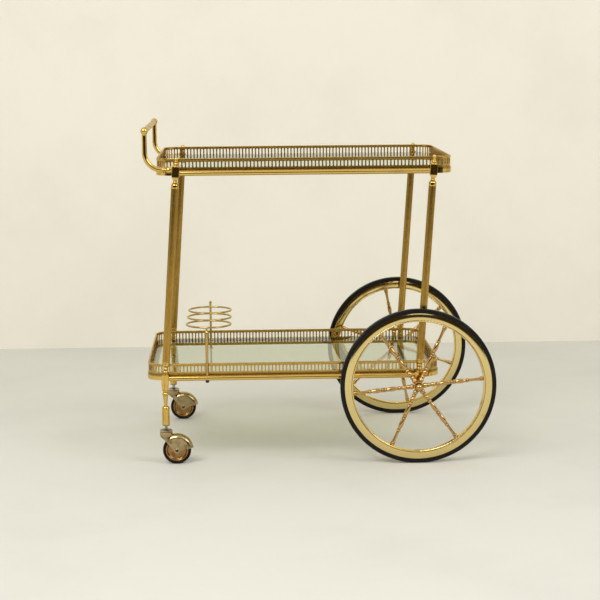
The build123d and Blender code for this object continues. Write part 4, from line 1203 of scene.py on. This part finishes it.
@dataclass
class BottleHolder(SubAssembly):
    """Three wire rings on two posts, brazed where they touch.

    Attributes:
        fillet_reach: How far the braze runs along the wires, either way.
        fillet_depth: Half its depth, across the wires.
        fillet_height: Half its height, as a share of that depth.
        cheek: Where its two cheeks begin, as a share of that depth.
        flare: How much the cheeks are stretched, along each axis.
    """

    fillet_reach: float = 0.0042
    fillet_depth: float = 0.0022
    fillet_height: float = 0.75
    cheek: float = 0.55
    flare: tuple[float, float, float] = (1.5, 1.0, 0.8)

    @property
    def finishes(self) -> dict[str, Finish]:
        """CAD nodes of the bottle holder and their finishes."""
        wires = [f"bottle_ring_{index}" for index in RINGS]
        wires += ["bottle_holder_front_post", "bottle_holder_rear_post"]
        # The nut's end is black as painted shade under the frame
        return {**dict.fromkeys(wires, WIRE), "bottle_holder_nut": PAINTED_SHADE_BLACK}

    def build(self) -> None:
        """Fillets of braze at the rings' joints and at both posts."""
        model = self._fillet()
        boxes = [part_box(f"bottle_ring_{index}") for index in RINGS]
        (front, end_1), (start_2, end_2), (start_3, rear) = ((low[1], high[1]) for low, high in boxes)
        centre = middle("bottle_ring_1")
        joints = {
            "front_post": front,
            "rings_1_2": (end_1 + start_2) / 2,
            "rings_2_3": (end_2 + start_3) / 2,
            "rear_post": rear,
        }
        inward = {"front_post": self.fillet_depth, "rear_post": -self.fillet_depth}
        for where, y in joints.items():
            point = Vector((centre.x, y + inward.get(where, 0.0), centre.z))
            set_down(model, Matrix.Translation(point), f"braze_{where}", BRAZE, "cart")
        clear_away(model)

    def _fillet(self) -> bpy.types.Object:
        """Lens of braze that fills the corner between two wires.

        Returns:
            The bench model, its long direction along X.
        """
        clear_bench()
        bpy.ops.mesh.primitive_uv_sphere_add(segments=24, ring_count=16, radius=self.fillet_depth)
        model = bpy.context.view_layer.objects.active
        set_mode("EDIT")
        bpy.ops.mesh.select_all(action="SELECT")
        bpy.ops.transform.resize(value=(self.fillet_reach / self.fillet_depth, 1.0, self.fillet_height))
        set_mode("OBJECT")
        for face in (-1, 1):
            pick_faces(model, lambda point, _: point.y * face > self.fillet_depth * self.cheek)
            bpy.ops.transform.resize(value=self.flare)
            set_mode("OBJECT")
        bpy.ops.object.shade_smooth_by_angle(angle=SMOOTH_BRAZE_BELOW)
        return model


# Studio


@dataclass(frozen=True)
class PhotoCamera:
    """The camera that took the photograph, found by a least-squares fit.

    Attributes:
        place: Where it stands, in metres.
        pitch: Degrees down.
        yaw: Degrees toward +X.
        roll: Degrees of roll.
        focal: Focal length in pixels.
        pixels: Width of the frame in pixels.
        sensor: Width of the sensor in millimetres.
        sight: How far it sees, in metres.
    """

    place: Place = (-0.1733, -3.847, 0.9013)
    pitch: float = 8.55
    yaw: float = 2.05
    roll: float = -0.45
    focal: float = 1700.0
    pixels: float = 600.0
    sensor: float = 36.0
    sight: float = 60.0

    def make(self) -> None:
        """Add the camera and make it the scene's own."""
        pitch, yaw, roll = (math.radians(angle) for angle in (self.pitch, self.yaw, self.roll))
        ahead = Vector((math.sin(yaw) * math.cos(pitch), math.cos(yaw) * math.cos(pitch), -math.sin(pitch)))
        right = Vector((math.cos(yaw), -math.sin(yaw), 0))
        up = right.cross(ahead)
        rolled_right = right * math.cos(roll) + up * math.sin(roll)
        rolled_up = up * math.cos(roll) - right * math.sin(roll)
        data = bpy.data.cameras.new("photo_camera")
        data.sensor_width = self.sensor
        data.lens = self.sensor * self.focal / self.pixels
        data.clip_end = self.sight
        camera = bpy.data.objects.new("photo_camera", data)
        turn = Matrix((rolled_right, rolled_up, -ahead)).transposed().to_4x4()
        camera.matrix_world = Matrix.Translation(self.place) @ turn
        bpy.context.scene.collection.objects.link(camera)
        bpy.context.scene.camera = camera


@dataclass(frozen=True)
class Lamp:
    """A soft rectangular lamp.

    Attributes:
        name: Its name.
        place: Where it hangs.
        size: Its width and height.
        power: Watts.
        colour: Colour of its light.
    """

    name: str
    place: Place
    size: tuple[float, float]
    power: float
    colour: Colour = (1.0, 0.97, 0.92)

    def hang(self, target: Place) -> None:
        """Add the lamp to the scene.

        Args:
            target: What it points at.
        """
        data = bpy.data.lights.new(self.name, "AREA")
        data.shape = "RECTANGLE"
        data.size, data.size_y = self.size
        data.energy = self.power
        data.color = self.colour
        lamp = bpy.data.objects.new(self.name, data)
        lamp.location = self.place
        lamp.rotation_euler = (Vector(target) - Vector(self.place)).to_track_quat("-Z", "Y").to_euler()
        bpy.context.scene.collection.objects.link(lamp)


@dataclass(frozen=True)
class Upright:
    """An upright rectangle of the stage that faces the camera or the cart.

    Attributes:
        y: Where it stands.
        left: Its least X.
        right: Its greatest X.
        low: Its lower edge.
        high: Its upper edge.
    """

    y: float
    left: float
    right: float
    low: float
    high: float

    def corners(self) -> list[Place]:
        """Its four corners, in order."""
        low, high, y = self.low, self.high, self.y
        return [(self.left, y, low), (self.right, y, low), (self.right, y, high), (self.left, y, high)]


LAMPS = (
    Lamp("soft_key", (-1.6, -2.6, 3.0), (2.4, 1.6), 75.0),
    Lamp("soft_fill", (2.4, -2.2, 2.4), (1.8, 1.8), 38.0),
)
LIT_POINT = (0.0, 0.0, 0.4)
HIDDEN_FROM = ("camera", "diffuse", "transmission", "volume_scatter", "shadow")


@dataclass(frozen=True)
class Studio:
    """Floor, wall, lamps and the dark end of the room that metal mirrors.

    Attributes:
        half_width: Half the width of the floor and the wall.
        floor_front: Y of the floor's front edge.
        wall: Place and size of the wall.
        curtain: Those of the dark curtain behind the camera.
        window: Those of the bright window in front of it.
        wall_colour: Colour of the wall.
        floor_colour: Colour of the floor.
        room_colour: Colour that stands round the stage.
        light_colour: Colour of the light that the room gives.
        light: Strength of that light.
        curtain_colour: Colour of the curtain.
        window_colour: Colour of the window's glow.
        clouds: Faint clouds per metre in floor and wall.
        cloud_shade: Share of the colour left in a cloud.
    """

    half_width: float = 7.0
    floor_front: float = -4.6
    wall: Upright = Upright(1.23, -7.0, 7.0, 0.0, 4.2)
    curtain: Upright = Upright(-5.0, -9.0, 9.0, -0.5, 2.6)
    window: Upright = Upright(-4.95, 0.45, 1.05, 1.0, 1.7)
    wall_colour: Colour = (0.86, 0.84, 0.755)
    floor_colour: Colour = (0.71, 0.71, 0.67)
    room_colour: Colour = (0.87, 0.82, 0.68)
    light_colour: Colour = (1.0, 0.97, 0.91)
    light: float = 0.62
    curtain_colour: Colour = (0.05, 0.035, 0.02)
    window_colour: Colour = (1.0, 0.98, 0.90)
    clouds: float = 2.2
    cloud_shade: float = 0.95

    def _plane(self, name: str, corners: list[Place], material: bpy.types.Material) -> bpy.types.Object:
        """Add a four-sided stage plane.

        Args:
            name: Its name.
            corners: Its corners in order.
            material: What it is made of.

        Returns:
            The new object.
        """
        mesh = bpy.data.meshes.new(name)
        mesh.from_pydata(corners, [], [(0, 1, 2, 3)])
        mesh.materials.append(material)
        plane = bpy.data.objects.new(name, mesh)
        bpy.context.scene.collection.objects.link(plane)
        return plane

    def _plaster(self, name: str, colour: Colour, one_sided: bool) -> bpy.types.Material:
        """Plain matt stage material.

        Args:
            name: Its name.
            colour: Its colour.
            one_sided: True where the back lets everything through.

        Returns:
            The material.
        """
        graph = Graph(bpy.data.materials.new(name))
        cloud = graph.noise(graph.body(), self.clouds, 5.0, 0.6).step(0.4, 0.7)
        shade = tuple(part * self.cloud_shade for part in colour)
        matt = graph.node("ShaderNodeBsdfDiffuse", values={"Color": graph.blend(cloud, colour, shade)})
        if one_sided:
            graph.mix(graph.backfacing(), matt, graph.node("ShaderNodeBsdfTransparent"))
        else:
            graph.show(matt)
        return graph.owner

    def _world(self) -> None:
        """Pale room for the camera, metal and glass, softer light for the rest."""
        world = bpy.data.worlds.new("studio")
        bpy.context.scene.world = world
        graph = Graph(world, "ShaderNodeOutputWorld")
        seen = graph.node("ShaderNodeBackground", values={"Color": self.room_colour})
        values = {"Color": self.light_colour, "Strength": self.light}
        light = graph.node("ShaderNodeBackground", values=values)
        rays = graph.node("ShaderNodeLightPath").outputs
        share = Signal(graph, rays["Is Camera Ray"])
        for ray in ("Is Glossy Ray", "Is Transmission Ray"):
            share = share.larger(Signal(graph, rays[ray]))
        graph.mix(share, light, seen)

    def _dark_end(self) -> None:
        """Dark curtain and a bright window that only mirrors see, past the floor's front edge."""
        cloth = Graph(bpy.data.materials.new("curtain"))
        cloth.show(cloth.node("ShaderNodeBsdfDiffuse", values={"Color": self.curtain_colour}))
        pane = Graph(bpy.data.materials.new("window"))
        values = {"Color": self.window_colour, "Strength": 1.0}
        pane.show(pane.node("ShaderNodeEmission", values=values))
        curtain = self._plane("curtain_front", self.curtain.corners(), cloth.owner)
        window = self._plane("window", self.window.corners(), pane.owner)
        for plane in (curtain, window):
            for ray in HIDDEN_FROM:
                setattr(plane, f"visible_{ray}", False)

    def make(self) -> None:
        """Build the whole studio."""
        side, front, back = self.half_width, self.floor_front, self.wall.y
        floor = [(-side, front, 0.0), (side, front, 0.0), (side, back, 0.0), (-side, back, 0.0)]
        self._plane("floor", floor, self._plaster("floor_pale", self.floor_colour, False))
        wall = self.wall.corners()
        self._plane("wall", wall, self._plaster("wall_cream", self.wall_colour, True))
        self._world()
        for lamp in LAMPS:
            lamp.hang(LIT_POINT)
        self._dark_end()
        bpy.context.scene.view_settings.view_transform = "Standard"
        LOG.info("studio: %d lamps", len(LAMPS))


def main() -> None:
    """Build and dress the cart, then the studio round it."""
    logging.basicConfig(level=logging.INFO, format="%(name)s %(message)s")
    groups: list[SubAssembly] = [Tray(level) for level in Level]
    groups.append(Legs())
    groups.extend(LargeWheel(side) for side in Side)
    groups.append(Axle())
    groups.extend(Caster(side) for side in Side)
    groups.extend([CasterMounts(), PushHandle(), BottleHolder()])
    for group in groups:
        group.make()
    Studio().make()
    PhotoCamera().make()


if __name__ == "__main__":
    main()
